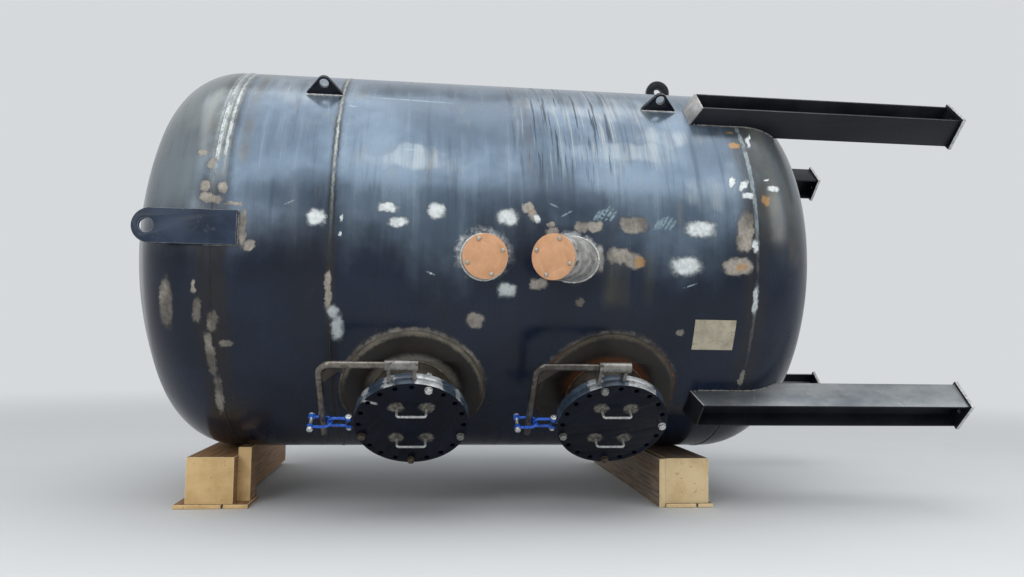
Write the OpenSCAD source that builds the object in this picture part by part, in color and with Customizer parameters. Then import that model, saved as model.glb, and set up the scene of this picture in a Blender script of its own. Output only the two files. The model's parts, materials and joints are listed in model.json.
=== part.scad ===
// Leg-supported steel pressure tank, laid on its side on two timber cribs.
// Millimetres, +Z up. X runs along the tank's axis, towards its feet.
// The origin is on the floor under the tank's axis, in the middle of the left timber.

/* [Shell] */
// Outside diameter of the shell
shell_od = 2743; // [2400:1:3000]
// Wall thickness of the shell and heads
wall = 16; // [10:1:25]
// Length of the short course at the left
course_1_len = 687; // [600:1:900]
// Length of the long course at the right
course_2_len = 2648; // [2500:1:3000]
// Straight flange of each head
head_flange = 40; // [25:1:75]
// Knuckle radius of each head
knuckle_r = 474; // [400:1:520]
// Crown radius of each head
crown_r = 2481; // [2300:1:2700]

/* [Legs] */
// Angle of the legs above and below the tank's sides
leg_angle = 45; // [40:1:50]
// Depth of the leg section, across its flanges
leg_depth = 203; // [180:1:230]
// Width of the leg's flanges
leg_width = 203; // [180:1:230]
// Thickness of the leg's flanges
leg_flange_t = 11; // [8:1:16]
// Thickness of the leg's web
leg_web_t = 8; // [6:1:14]
// Distance of the leg's web out from the shell
leg_stand = 23.5; // [16:0.5:40]
// Distance from the right head seam back to the leg's upper end
leg_lap = 318; // [250:1:400]
// Distance from the right head seam to the foot's underside
leg_reach = 1618; // [1400:1:1900]
// Slope of the mitred upper end, from square
cap_slope = 25; // [0:1:35]
// Thickness of the cap plate
cap_t = 10; // [6:1:16]
// Side of the square base plate
foot_w = 235; // [220:1:280]
// Thickness of the base plate
foot_t = 22; // [16:1:32]
// Diameter of the anchor holes
anchor_d = 24; // [16:1:30]
// Distance of an anchor hole from the leg's web
anchor_offset = 55; // [45:1:70]

/* [Lifting lugs] */
// Angle of the top ears above the tank's sides
ear_angle = 48; // [40:1:60]
// Place of the left ear, from the left head seam
ear_left_x = 568; // [300:1:900]
// Place of the right ear, back from the right head seam
ear_right_x = 511; // [300:1:700]
// Width of an ear at the shell
ear_w = 235; // [180:1:300]
// Height of the ear's hole above the shell
ear_hole_h = 82; // [70:1:110]
// Radius of the ear's rounded top
ear_r = 46; // [42:1:60]
// Height of the ear's square corners
ear_side_h = 14; // [8:1:30]
// Thickness of an ear
ear_t = 25; // [16:1:40]
// Diameter of an ear's hole
ear_hole_d = 60; // [40:1:66]
// Place of the tail lug on the top line, back from the right head seam
tail_x = 230; // [130:1:350]
// Width of the tail lug
tail_w = 190; // [150:1:240]
// Height of the tail lug's hole above the shell
tail_hole_h = 92; // [80:1:130]
// Diameter of the tail lug's hole
tail_hole_d = 60; // [40:1:80]
// Thickness of the tail lug
tail_t = 32; // [20:1:45]
// Angle of the side plates above the tank's sides
side_angle = 2; // [-6:1:8]
// Height of a side plate
side_h = 206; // [170:1:240]
// Length of a side plate on the shell, from the left head seam
side_lap = 152; // [100:1:300]
// Reach of a side plate past the left head seam
side_reach = 436; // [350:1:520]
// Thickness of a side plate
side_t = 25; // [16:1:38]
// Diameter of a side plate's hole
side_hole_d = 84; // [60:1:100]

/* [Nozzles] */
// Angle of the nozzles above the tank's side
nozzle_angle = -3.5; // [-8:0.5:4]
// Outside diameter of the nozzles
nozzle_od = 273; // [219:1:324]
// Bore of the nozzles
nozzle_bore = 178; // [140:1:190]
// Place of the short nozzle, from the left head seam
nozzle_1_x = 1602; // [1450:1:1700]
// Length of the short nozzle outside the shell
nozzle_1_len = 92; // [60:1:160]
// Place of the slanted nozzle, from the left head seam
nozzle_2_x = 2144; // [2050:1:2300]
// Length of the slanted nozzle from the shell, along its axis
nozzle_2_len = 284; // [220:1:340]
// Slant of the second nozzle towards the left head
nozzle_2_slant = 33; // [20:1:40]
// Thickness of the nozzle covers
nozzle_cover_t = 8; // [5:1:16]
// Bolt circle of the nozzle covers
nozzle_pcd = 224; // [210:1:240]
// Diameter of the nozzle cover's bolt holes
nozzle_bolt_d = 14; // [10:1:20]
// Turn of the short nozzle's bolts round its axis
nozzle_1_turn = 20.8; // [0:0.1:45]
// Turn of the slanted nozzle's bolts round its axis
nozzle_2_turn = -21; // [-45:0.1:0]

/* [Manways] */
// Angle of the manways below the tank's side
manway_angle = 42; // [38:1:50]
// Place of the first manway, from the left head seam
manway_1_x = 1188; // [1100:1:1300]
// Place of the second manway, back from the right head seam
manway_2_x = 897; // [840:1:950]
// Outside diameter of the manway neck
manway_od = 508; // [457:1:540]
// Wall of the manway neck
manway_wall = 13; // [9:1:20]
// Diameter of the reinforcing pad
pad_d = 900; // [780:1:950]
// Thickness of the reinforcing pad
pad_t = 16; // [10:1:25]
// Diameter of the manway flange and its cover
flange_d = 698; // [660:1:740]
// Thickness of the manway flange
flange_t = 43; // [30:1:55]
// Thickness of the manway cover
cover_t = 43; // [30:1:55]
// Thickness of the gasket
gasket_t = 3; // [2:0.5:6]
// Distance from the shell to the flange's face
manway_stand = 232; // [200:1:300]
// Bolt circle of the manway flange
manway_pcd = 635; // [610:1:650]
// Number of bolts in the manway flange
manway_bolts = 20; // [16:2:24]
// Diameter of the manway's bolt holes
manway_bolt_d = 32; // [26:1:36]
// Gap between the gasket and the bolts
gasket_gap = 2; // [1:0.5:6]
// Length of a cover handle
handle_len = 190; // [150:1:240]
// Diameter of the handle bar
handle_d = 16; // [12:1:22]
// Stand-off of the handle from the cover
handle_h = 66; // [50:1:90]
// Place of the upper handle, above the cover's centre
handle_up = 130; // [60:1:160]
// Place of the lower handle, below the cover's centre
handle_down = 135; // [80:1:200]

/* [Davits] */
// Outside diameter of the davit pipe
davit_d = 42; // [34:1:50]
// Distance of the davit's post from the manway's centre
post_offset = 475; // [450:1:520]
// Reach of the davit's arm past the cover's edge
arm_gap = 180; // [165:1:200]
// Length of the post past the manway's centre
post_tail = 35; // [10:1:80]
// Centreline radius of the davit's bend
bend_r = 70; // [60:1:90]
// Length of the arm past the manway's centre line
arm_tail = 97; // [60:1:110]
// Leg of the triangular gusset in the bend
gusset_leg = 150; // [110:1:200]
// Thickness of the davit's plates
plate_t = 10; // [6:1:14]
// Outside diameter of the post's sleeve
sleeve_d = 60; // [56:1:70]
// Length of the post's sleeve
sleeve_len = 190; // [150:1:230]
// Gap between the sleeve's plates and the cover's rim
cover_gap = 6; // [5:1:12]

/* [Shackles] */
// Diameter of the shackle's bow
bow_d = 18; // [14:1:20]
// Diameter of the shackle's pin
pin_d = 18; // [14:1:20]
// Inside width of the shackle around the arm
bow_w = 62; // [52:1:70]
// Inside width of the shackle on the cover's lug
link_w = 44; // [40:1:48]
// Thickness of the cover's lug
lug_t = 20; // [14:1:30]
// Radius of the cover's lug
lug_r = 19; // [16:1:20]
// Extra thickness and width of the shackles' eyes
eye_extra = 2; // [1:0.5:4]
// Distance of the first shackle's pin from the arm's axis
pin_reach = 72; // [60:1:90]
// Gap between the second shackle's eyes and the cover's rim
lug_gap = 7; // [5:1:12]
// Size of a nut across its corners, over the pin's diameter
nut_share = 2.1; // [1.6:0.1:2.4]

/* [Name plate] */
// Length of the bare plate along the tank
tag_len = 270; // [200:1:320]
// Height of the bare plate
tag_h = 204; // [150:1:240]
// Thickness of the bare plate
tag_t = 4; // [2:1:8]
// Angle of the bare plate below the tank's side
tag_angle = 22.8; // [20:0.1:26]
// Place of the bare plate, back from the right head seam
tag_x = 249; // [160:1:330]

/* [Cribs] */
// Side of the square timbers
timber = 304; // [250:1:330]
// Thickness of the planks under the timbers
plank_t = 26; // [20:1:60]
// Share of the crib's width that the wider plank takes
plank_share = 0.64; // [0.6:0.01:0.7]
// Gap between the planks
plank_gap = 14; // [5:1:30]
// Reach of the planks past the timber's near end
plank_over = 15; // [0:1:40]
// Reach of the planks past the left timber's left side
plank_side = 70; // [0:1:100]
// Reach of the narrow left plank past the block on it
plank_past = 50; // [0:1:100]
// Thickness of the board on edge beside the right timber
board_t = 44; // [25:1:60]
// Height of the board on edge
board_h = 326; // [260:1:330]
// Thickness of the block on end beside the left timber
block_t = 85; // [60:1:110]
// Length of the block across the tank
block_len = 170; // [120:1:220]
// Set-back of the block from the left timber's near end
block_set_back = 110; // [60:1:160]
// Gap between the block's top and the tank
block_gap = 16; // [5:1:30]
// Near end of the timbers, in front of the tank's axis
crib_near = 800; // [700:1:900]
// Far end of the timbers, behind the tank's axis
crib_far = 1240; // [900:1:1300]
// Place of the left timber's right side, from the left head seam
crib_left_x = 33; // [20:1:300]
// Place of the right timber's left side, from the right head seam
crib_right_x = 417; // [350:1:650]
// Set-back of the left timber's near end from the right one's
left_set_back = 100; // [0:1:200]
// Length of the chocks along the tank
chock_len = 180; // [120:1:250]
// Distance of the left chocks from the timber's right side
chock_in = 40; // [0:1:80]
// Width of the chocks across the tank
chock_w = 150; // [100:1:220]
// Place of the chocks, behind the tank's axis
chock_y = 330; // [280:1:420]

/* [Hidden] */
// Seat between welded, bolted or resting pieces
seat = 0.3;
// Running clearance of the post in its sleeve
run = 0.3;
// Overrun of a cut past the solid that it cuts
over = 1;
// Facets asked of round shapes, which are built as true curves
$fn = 96;
// Facets asked of curves as large as the shell
shell_fn = 240;
shell_r = shell_od / 2;
inner_r = shell_r - wall;
shell_len = course_1_len + course_2_len;
leg_radius = shell_r + leg_stand;
axis_z = plank_t + timber + shell_r + seat;
left_x = timber / 2 - crib_left_x;
right_x = left_x + shell_len;
course_x = left_x + course_1_len;
x_manway_1 = left_x + manway_1_x;
x_manway_2 = right_x - manway_2_x;
x_tag = right_x - tag_x;
knuckle_c = shell_r - knuckle_r;
crown_drop = sqrt(pow(crown_r - knuckle_r, 2) - pow(knuckle_c, 2));
head_depth = crown_r - crown_drop;
flange_z = shell_r + manway_stand;
cover_z = flange_z + gasket_t + 2 * seat;
post_z = cover_z + cover_t / 2;
arm_x = -flange_d / 2 - arm_gap;
leg_x0 = right_x - leg_lap;
foot_x = right_x + leg_reach;
top_of_crib = plank_t + timber;
// Places along the chain from the arm's centre: first bow, first pin, second bow, second pin
rod_x = davit_d / 2 + seat + bow_d / 2;
bow_x = rod_x + bow_d / 2 + seat - bow_w / 2;
link_x = rod_x + (link_w + bow_d) / 2;
lug_x = arm_gap - pin_d - eye_extra - lug_gap;

// Placing helpers
// Turns a shape's +Z along the tank's axis, at height axis_z
module along(x) {
    translate([x, 0, axis_z]) rotate([0, 90, 0]) children();
}

// Puts a shape on the tank at angle a above the near side: +Z points out, +Y points up round it
module at_angle(a, x = 0) {
    translate([x, 0, axis_z]) rotate([90 - a, 0, 0]) children();
}

// Manway frame, with +Z out along the manway's axis and the origin on the tank's axis
module at_manway(x) {
    at_angle(-manway_angle, x) children();
}

// Heads and shell
// Filled half section of a dished head, its rim on the X axis
module dish_2d(cut) {
    r = shell_r - cut;
    knuckle = knuckle_r - cut;
    crown = crown_r - cut;
    reach = 1.5 * crown;
    tilt = atan2(knuckle_c, crown_drop);
    intersection() {
        square([r, crown]);
        union() {
            intersection() {
                translate([0, -crown_drop]) circle(crown, $fn = shell_fn);
                polygon([
                    [0, 0],
                    [knuckle_c, 0],
                    [reach * sin(tilt), reach * cos(tilt) - crown_drop],
                    [0, reach - crown_drop]
                ]);
            }
            translate([knuckle_c, 0]) circle(knuckle, $fn = shell_fn);
        }
    }
}

// Solid of a head's outer or inner form, standing on its seam
module dish_solid(cut) {
    cylinder(h = head_flange + seat, r = shell_r - cut, $fn = shell_fn);
    translate([0, 0, head_flange]) rotate_extrude($fn = shell_fn) dish_2d(cut);
}

// Wall of a head, with its open end at the seam
module head_wall() {
    difference() {
        union() {
            translate([0, 0, seat / 2])
                cylinder(h = head_flange - seat / 2, r = shell_r, $fn = shell_fn);
            translate([0, 0, head_flange]) rotate_extrude($fn = shell_fn) dish_2d(0);
        }
        translate([0, 0, -over]) cylinder(h = head_flange + over, r = inner_r, $fn = shell_fn);
        translate([0, 0, head_flange]) rotate_extrude($fn = shell_fn) dish_2d(wall);
    }
}

module left_head() {
    color("#1d222c") translate([left_x, 0, axis_z]) rotate([0, -90, 0]) head_wall();
}

module right_head() {
    color("#1d222c") along(right_x) head_wall();
}

// Plain rolled course, from x0 over its length
module course(x0, len) {
    along(x0 + seat / 2) difference() {
        cylinder(h = len - seat, r = shell_r, $fn = shell_fn);
        translate([0, 0, -over]) cylinder(h = len + 2 * over, r = inner_r, $fn = shell_fn);
    }
}

module shell_course_1() {
    color("#20252f") course(left_x, course_1_len);
}

module shell_course_2() {
    color("#20252f") difference() {
        course(course_x, course_2_len);
        for (x = [x_manway_1, x_manway_2])
            at_manway(x) translate([0, 0, shell_r / 2]) cylinder(h = shell_r, d = manway_od + 2 * seat);
        at_nozzle_1() cylinder(h = shell_r, d = nozzle_od + 2 * seat);
        at_nozzle_2() translate([0, 0, -shell_r / 4]) cylinder(h = shell_r, d = nozzle_od + 2 * seat);
    }
}

// Outer form of the tank with its seat, for coping what is welded to it
module tank_envelope() {
    along(left_x) cylinder(h = shell_len, r = shell_r + seat, $fn = shell_fn);
    along(right_x) dish_solid(-seat);
}

// Legs
// Section of a leg: web across the tank's radius, flanges to each side of it
module leg_2d() {
    web_h = leg_depth - 2 * leg_flange_t;
    square([leg_web_t, web_h], center = true);
    for (s = [-1, 1])
        translate([0, s * (leg_depth - leg_flange_t) / 2])
            square([leg_width, leg_flange_t], center = true);
}

// Slab behind the mitred end of a leg, in the leg's own frame
module mitre_slab(t) {
    size = 4 * leg_width;
    translate([leg_x0, 0, shell_r]) rotate([0, cap_slope, 0])
        translate([-t, -size / 2, -size / 2]) cube([t, size, size]);
}

module leg(a) {
    color("#191c22") difference() {
        at_angle(a) translate([leg_x0 - leg_width, 0, leg_radius]) rotate([0, 90, 0])
            linear_extrude(height = foot_x - foot_t - seat - leg_x0 + leg_width) leg_2d();
        at_angle(a) mitre_slab(2 * leg_width);
        tank_envelope();
    }
}

module leg_near_top() {
    leg(leg_angle);
}

module leg_near_bottom() {
    leg(-leg_angle);
}

module leg_far_top() {
    leg(180 - leg_angle);
}

module leg_far_bottom() {
    leg(180 + leg_angle);
}

// Angles of the four legs round the tank
leg_angles = [leg_angle, -leg_angle, 180 - leg_angle, 180 + leg_angle];

module leg_caps() {
    color("#8d8f90") difference() {
        for (a = leg_angles)
            at_angle(a) intersection() {
                translate([-seat, 0, 0]) mitre_slab(cap_t);
                translate([leg_x0 - leg_width, -leg_depth / 2, 0])
                    cube([2 * leg_width, leg_depth, leg_radius + leg_width / 2]);
            }
        tank_envelope();
    }
}

module base_plates() {
    color("#2b2e34") for (a = leg_angles)
        at_angle(a) translate([foot_x - foot_t / 2, 0, leg_radius]) difference() {
            cube([foot_t, foot_w, foot_w], center = true);
            for (s = [-1, 1])
                translate([-foot_t, 0, s * anchor_offset]) rotate([0, 90, 0])
                    cylinder(h = 2 * foot_t, d = anchor_d);
        }
}

// Lifting lugs
// Outline of an ear: square corners, sides that meet a round top, on the X axis
module ear_2d() {
    run_x = ear_w / 2;
    drop = ear_hole_h - ear_side_h;
    turn = acos(ear_r / norm([run_x, drop])) - atan2(drop, run_x);
    polygon([
        [-run_x, 0],
        [run_x, 0],
        [run_x, ear_side_h],
        [ear_r * cos(turn), ear_hole_h + ear_r * sin(turn)],
        [-ear_r * cos(turn), ear_hole_h + ear_r * sin(turn)],
        [-run_x, ear_side_h]
    ]);
    translate([0, ear_hole_h]) circle(ear_r);
}

// Plate that stands on the shell along the tank, from an outline and a hole
module lug(a, x, t, hole_h, hole_d) {
    at_angle(a, x) translate([0, 0, shell_r + seat]) rotate([90, 0, 0])
        difference() {
            linear_extrude(height = t, center = true) children();
            translate([0, hole_h, -t]) cylinder(h = 2 * t, d = hole_d);
        }
}

module ears(a) {
    color("#23272f") for (x = [left_x + ear_left_x, right_x - ear_right_x])
        lug(a, x, ear_t, ear_hole_h, ear_hole_d) ear_2d();
}

module ears_near() {
    ears(ear_angle);
}

module ears_far() {
    ears(180 - ear_angle);
}

module tail_lug() {
    color("#3a3e45") lug(90, right_x - tail_x, tail_t, tail_hole_h, tail_hole_d) {
        translate([-tail_w / 2, 0]) square([tail_w, tail_hole_h]);
        intersection() {
            translate([0, tail_hole_h]) circle(tail_w / 2);
            translate([-tail_w, 0]) square(2 * tail_w);
        }
    }
}

// Flat plate laid against the shell, its rounded end and hole past the left seam
module side_plate(a) {
    end_c = side_reach - side_h / 2;
    color("#1b1e25") at_angle(a, left_x) translate([0, 0, shell_r + seat]) difference() {
        linear_extrude(height = side_t) {
            translate([-end_c, -side_h / 2]) square([end_c + side_lap, side_h]);
            translate([-end_c, 0]) circle(side_h / 2);
        }
        translate([-end_c - side_h / 10, 0, -over]) cylinder(h = side_t + 2 * over, d = side_hole_d);
    }
}

module side_plate_near() {
    side_plate(side_angle);
}

module side_plate_far() {
    side_plate(180 - side_angle);
}

// Nozzles
// Frames with +Z out along each nozzle; the second one starts at the shell
module at_nozzle_1() {
    at_angle(nozzle_angle, left_x + nozzle_1_x) children();
}

module at_nozzle_2() {
    at_angle(nozzle_angle, left_x + nozzle_2_x) translate([0, 0, shell_r])
        rotate([0, -nozzle_2_slant, 0]) children();
}

// Thick tube from inside the shell to its face, with tapped holes for the cover
module nozzle_tube(back, face, first) {
    difference() {
        translate([0, 0, back]) cylinder(h = face - back, d = nozzle_od);
        translate([0, 0, back - over]) cylinder(h = face - back + 2 * over, d = nozzle_bore);
        nozzle_bolts(face, first);
    }
}

// Bolt holes of a nozzle face and its cover, the first one at angle first
module nozzle_bolts(face, first) {
    for (a = [0:90:270])
        rotate([0, 0, a + first]) translate([nozzle_pcd / 2, 0, face - 3 * nozzle_cover_t])
            cylinder(h = 5 * nozzle_cover_t, d = nozzle_bolt_d);
}

module nozzle_lid(face, first) {
    color("#d9a47c") difference() {
        translate([0, 0, face + seat]) cylinder(h = nozzle_cover_t, d = nozzle_od);
        nozzle_bolts(face, first);
    }
}

// Inside of the shell, which cuts the inner ends of the necks flush
module shell_bore() {
    along(course_x) cylinder(h = course_2_len, r = inner_r, $fn = shell_fn);
}

module nozzle_1_neck() {
    color("#6d6b68") difference() {
        at_nozzle_1() nozzle_tube(inner_r - 2 * wall, shell_r + nozzle_1_len, nozzle_1_turn);
        shell_bore();
    }
}

module nozzle_1_cover() {
    at_nozzle_1() nozzle_lid(shell_r + nozzle_1_len, nozzle_1_turn);
}

module nozzle_2_neck() {
    color("#6d6b68") difference() {
        at_nozzle_2() nozzle_tube(-nozzle_od / 2 - 2 * wall, nozzle_2_len, nozzle_2_turn);
        shell_bore();
    }
}

module nozzle_2_cover() {
    at_nozzle_2() nozzle_lid(nozzle_2_len, nozzle_2_turn);
}

// Manways
module manway_pad(x) {
    color("#4a3b30") difference() {
        intersection() {
            along(course_x) cylinder(h = course_2_len, r = shell_r + pad_t, $fn = shell_fn);
            at_manway(x) translate([0, 0, shell_r / 2]) cylinder(h = shell_r, d = pad_d);
        }
        along(course_x - over)
            cylinder(h = course_2_len + 2 * over, r = shell_r + seat, $fn = shell_fn);
        at_manway(x) cylinder(h = 2 * shell_r, d = manway_od + 2 * seat);
    }
}

module manway_neck(x) {
    bore = manway_od - 2 * manway_wall;
    color("#2a2725") difference() {
        at_manway(x) difference() {
            translate([0, 0, inner_r - 4 * wall])
                cylinder(h = flange_z - flange_t / 4 - inner_r + 4 * wall, d = manway_od);
            translate([0, 0, inner_r / 2]) cylinder(h = shell_r, d = bore);
        }
        shell_bore();
    }
}

// Ring of bolt holes through a flange or a cover
module bolt_ring(z, t) {
    for (i = [0:manway_bolts - 1])
        rotate([0, 0, i * 360 / manway_bolts]) translate([manway_pcd / 2, 0, z - over])
            cylinder(h = t + 2 * over, d = manway_bolt_d);
}

module manway_flange(x) {
    bore = manway_od - 2 * manway_wall;
    color("#262b35") at_manway(x) difference() {
        translate([0, 0, flange_z - flange_t]) cylinder(h = flange_t, d = flange_d);
        translate([0, 0, flange_z - flange_t - over])
            cylinder(h = 3 * flange_t / 4 + over, d = manway_od + 2 * seat);
        translate([0, 0, flange_z - flange_t]) cylinder(h = flange_t + over, d = bore);
        bolt_ring(flange_z - flange_t, flange_t);
    }
}

module manway_gasket(x) {
    color("#8b1f1a") at_manway(x) translate([0, 0, flange_z + seat]) difference() {
        cylinder(h = gasket_t, d = manway_pcd - manway_bolt_d - 2 * gasket_gap);
        translate([0, 0, -over]) cylinder(h = gasket_t + 2 * over, d = manway_od);
    }
}

module manway_cover(x) {
    color("#15181e") at_manway(x) difference() {
        union() {
            translate([0, 0, cover_z]) cylinder(h = cover_t, d = flange_d);
            cover_lug();
        }
        bolt_ring(cover_z, cover_t);
    }
}

// Bar bent to a U, standing on the cover at height u above its centre
module handle(u) {
    r = handle_d;
    half = handle_len / 2 - handle_d / 2;
    translate([0, u, cover_z + cover_t + seat]) {
        for (s = [-1, 1]) {
            translate([s * half, 0, 0]) cylinder(h = handle_h - r - handle_d / 2, d = handle_d);
            translate([s * (half - r), 0, handle_h - r - handle_d / 2]) rotate([90, 0, 0])
                rotate([0, 0, s > 0 ? 0 : 90]) rotate_extrude(angle = 90)
                    translate([r, 0]) circle(d = handle_d);
        }
        translate([-half + r, 0, handle_h - handle_d / 2]) rotate([0, 90, 0])
            cylinder(h = 2 * (half - r), d = handle_d);
    }
}

module manway_handles(x) {
    color("#b9bcbc") at_manway(x) {
        handle(handle_up);
        handle(-handle_down);
    }
}

// Davits
// Post along the tank and arm across the cover's edge, one bent pipe with a gusset
module davit_arm(x) {
    color("#4d4742") at_manway(x) translate([0, post_offset, post_z]) {
        translate([arm_x + bend_r, 0, 0]) rotate([0, 90, 0])
            cylinder(h = post_tail - arm_x - bend_r, d = davit_d);
        translate([arm_x + bend_r, -bend_r, 0]) rotate([0, 0, 90]) rotate_extrude(angle = 90)
            translate([bend_r, 0]) circle(d = davit_d);
        translate([arm_x, -bend_r, 0]) rotate([90, 0, 0])
            cylinder(h = post_offset + arm_tail - bend_r, d = davit_d);
        translate([arm_x, 0, 0]) linear_extrude(height = plate_t, center = true)
            polygon([
                [bend_r, -davit_d / 4],
                [gusset_leg, -davit_d / 4],
                [davit_d / 4, -gusset_leg],
                [davit_d / 4, -bend_r]
            ]);
    }
}

// Sleeve that the post turns in, on two plates welded to the flange's rim
module davit_bracket(x) {
    foot_y = post_offset - sleeve_d / 2 + plate_t / 2;
    color("#9a9893") at_manway(x) difference() {
        union() {
            translate([post_tail - sleeve_len - seat, post_offset, post_z]) rotate([0, 90, 0])
                cylinder(h = sleeve_len, d = sleeve_d);
            for (px = [post_tail - sleeve_len + plate_t, post_tail - 3 * plate_t])
                translate([px, 0, flange_z - flange_t + plate_t])
                    cube([2 * plate_t, foot_y, post_z - flange_z + flange_t - plate_t]);
        }
        translate([-flange_d, post_offset, post_z]) rotate([0, 90, 0])
            cylinder(h = 2 * flange_d, d = davit_d + 2 * run);
        translate([0, 0, flange_z - 2 * flange_t]) cylinder(h = 3 * flange_t, d = flange_d + 2 * seat);
        translate([0, 0, flange_z]) cylinder(h = 3 * flange_t, d = flange_d + 2 * cover_gap);
    }
}

// Bow shackle round the origin: its open end lies towards +X, with its pin along Z
module shackle(len, width) {
    c = (width + bow_d) / 2;
    difference() {
        union() {
            rotate([0, 0, 90]) rotate([0, -90, 0])
                rotate_extrude(angle = 180) translate([c, 0]) circle(d = bow_d);
            for (s = [-1, 1]) {
                translate([0, 0, s * c]) rotate([0, 90, 0]) cylinder(h = len, d = bow_d);
                translate([len, 0, s * c]) cylinder(h = bow_d + eye_extra, d = 2 * pin_d + eye_extra, center = true);
            }
        }
        translate([len, 0, -2 * width]) cylinder(h = 4 * width, d = pin_d + 2 * seat);
    }
}

// Pin of a shackle, with a collar at one end and a hexagon nut at the other
module shackle_pin(width) {
    c = width / 2 + bow_d + eye_extra / 2 + seat;
    cylinder(h = 2 * c + 2 * pin_d, d = pin_d, center = true);
    translate([0, 0, c]) cylinder(h = pin_d, d = nut_share * pin_d, $fn = 6);
    translate([0, 0, -c - pin_d / 2]) cylinder(h = pin_d / 2, d = nut_share * pin_d);
}

// Frame at the arm's end, with +X towards the cover's edge
module at_arm_end(x) {
    at_manway(x) translate([arm_x, 0, post_z]) children();
}

module davit_shackles(x) {
    color("#1f55b5") at_arm_end(x) {
        translate([bow_x, 0, 0]) mirror([1, 0, 0]) shackle(pin_reach + bow_x, bow_w);
        translate([link_x, 0, 0]) rotate([90, 0, 0]) shackle(lug_x - link_x, link_w);
    }
}

module davit_pins(x) {
    color("#c3c6c6") at_arm_end(x) {
        translate([-pin_reach, 0, 0]) shackle_pin(bow_w);
        translate([lug_x, 0, 0]) rotate([90, 0, 0]) shackle_pin(link_w);
    }
}

// Lug on the cover's edge, bored for the second shackle's pin
module cover_lug() {
    translate([arm_x, 0, post_z]) rotate([90, 0, 0]) difference() {
        linear_extrude(height = lug_t, center = true) {
            translate([lug_x, 0]) circle(r = lug_r);
            translate([lug_x, -lug_r]) square([arm_gap - lug_x + lug_t, 2 * lug_r]);
        }
        translate([lug_x, 0, -lug_t]) cylinder(h = 2 * lug_t, d = pin_d + 2 * seat);
    }
}

module manway_1_pad() { manway_pad(x_manway_1); }
module manway_1_neck() { manway_neck(x_manway_1); }
module manway_1_flange() { manway_flange(x_manway_1); }
module manway_1_gasket() { manway_gasket(x_manway_1); }
module manway_1_cover() { manway_cover(x_manway_1); }
module manway_1_handles() { manway_handles(x_manway_1); }
module davit_1_bracket() { davit_bracket(x_manway_1); }
module davit_1_arm() { davit_arm(x_manway_1); }
module davit_1_shackles() { davit_shackles(x_manway_1); }
module davit_1_pins() { davit_pins(x_manway_1); }
module manway_2_pad() { manway_pad(x_manway_2); }
module manway_2_neck() { manway_neck(x_manway_2); }
module manway_2_flange() { manway_flange(x_manway_2); }
module manway_2_gasket() { manway_gasket(x_manway_2); }
module manway_2_cover() { manway_cover(x_manway_2); }
module manway_2_handles() { manway_handles(x_manway_2); }
module davit_2_bracket() { davit_bracket(x_manway_2); }
module davit_2_arm() { davit_arm(x_manway_2); }
module davit_2_shackles() { davit_shackles(x_manway_2); }
module davit_2_pins() { davit_pins(x_manway_2); }

// Bare plate rolled to the shell
module name_plate() {
    half = asin(tag_h / 2 / shell_r);
    color("#8f8576") difference() {
        intersection() {
            along(x_tag - tag_len / 2)
                cylinder(h = tag_len, r = shell_r + seat + tag_t, $fn = shell_fn);
            at_angle(-tag_angle, x_tag)
                translate([-tag_len, -tag_h / 2, shell_r * cos(half) - wall])
                    cube([2 * tag_len, tag_h, 3 * wall]);
        }
        along(left_x) cylinder(h = shell_len, r = shell_r + seat, $fn = shell_fn);
    }
}

// Cribs
// Square timber across the tank, from x over its own width
module crib_timber(x, near) {
    color("#d2ab73") translate([x, -near, plank_t])
        cube([timber, near + crib_far, timber]);
}

crib_left = left_x + crib_left_x - timber;
crib_right = right_x - crib_right_x;
left_near = crib_near - left_set_back;
block_near = left_near - block_set_back;
block_far = block_near - block_len;
block_top = axis_z - sqrt(pow(shell_r, 2) - pow(block_far, 2)) - block_gap;

module left_timber() {
    crib_timber(crib_left, left_near);
}

module right_timber() {
    crib_timber(crib_right, crib_near);
}

// Wide plank under a timber and a narrow one of its own length beside it, from x over the width w
module crib_planks(x, w, near, narrow_len) {
    wide = w * plank_share;
    translate([x, -near - plank_over, 0])
        cube([wide, near + crib_far + plank_over, plank_t - seat]);
    translate([x + wide + plank_gap, -near - plank_over, 0])
        cube([w - wide - plank_gap, narrow_len, plank_t - seat]);
}

module left_boards() {
    block_x = crib_left + timber + seat;
    planks_w = plank_side + timber + block_t + plank_gap;
    color("#caa06a") {
        crib_planks(crib_left - plank_side, planks_w, left_near,
            plank_over + block_set_back + block_len + plank_past);
        translate([block_x, -block_near, plank_t])
            cube([block_t, block_len, block_top - plank_t]);
    }
}

module right_boards() {
    color("#caa06a") {
        crib_planks(crib_right, timber + plank_t, crib_near, crib_near + crib_far + plank_over);
        translate([crib_right - board_t - seat, -crib_near, 0])
            cube([board_t, crib_near + crib_far, board_h]);
    }
}

module chocks() {
    color("#b98f5c") difference() {
        for (x = [crib_left + timber - chock_len / 2 - chock_in, crib_right + timber / 2])
            translate([x - chock_len / 2, chock_y - chock_w / 2, top_of_crib])
                cube([chock_len, chock_w, chock_w / 2]);
        tank_envelope();
        along(left_x + seat) mirror([0, 0, 1]) dish_solid(-seat);
    }
}

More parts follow.
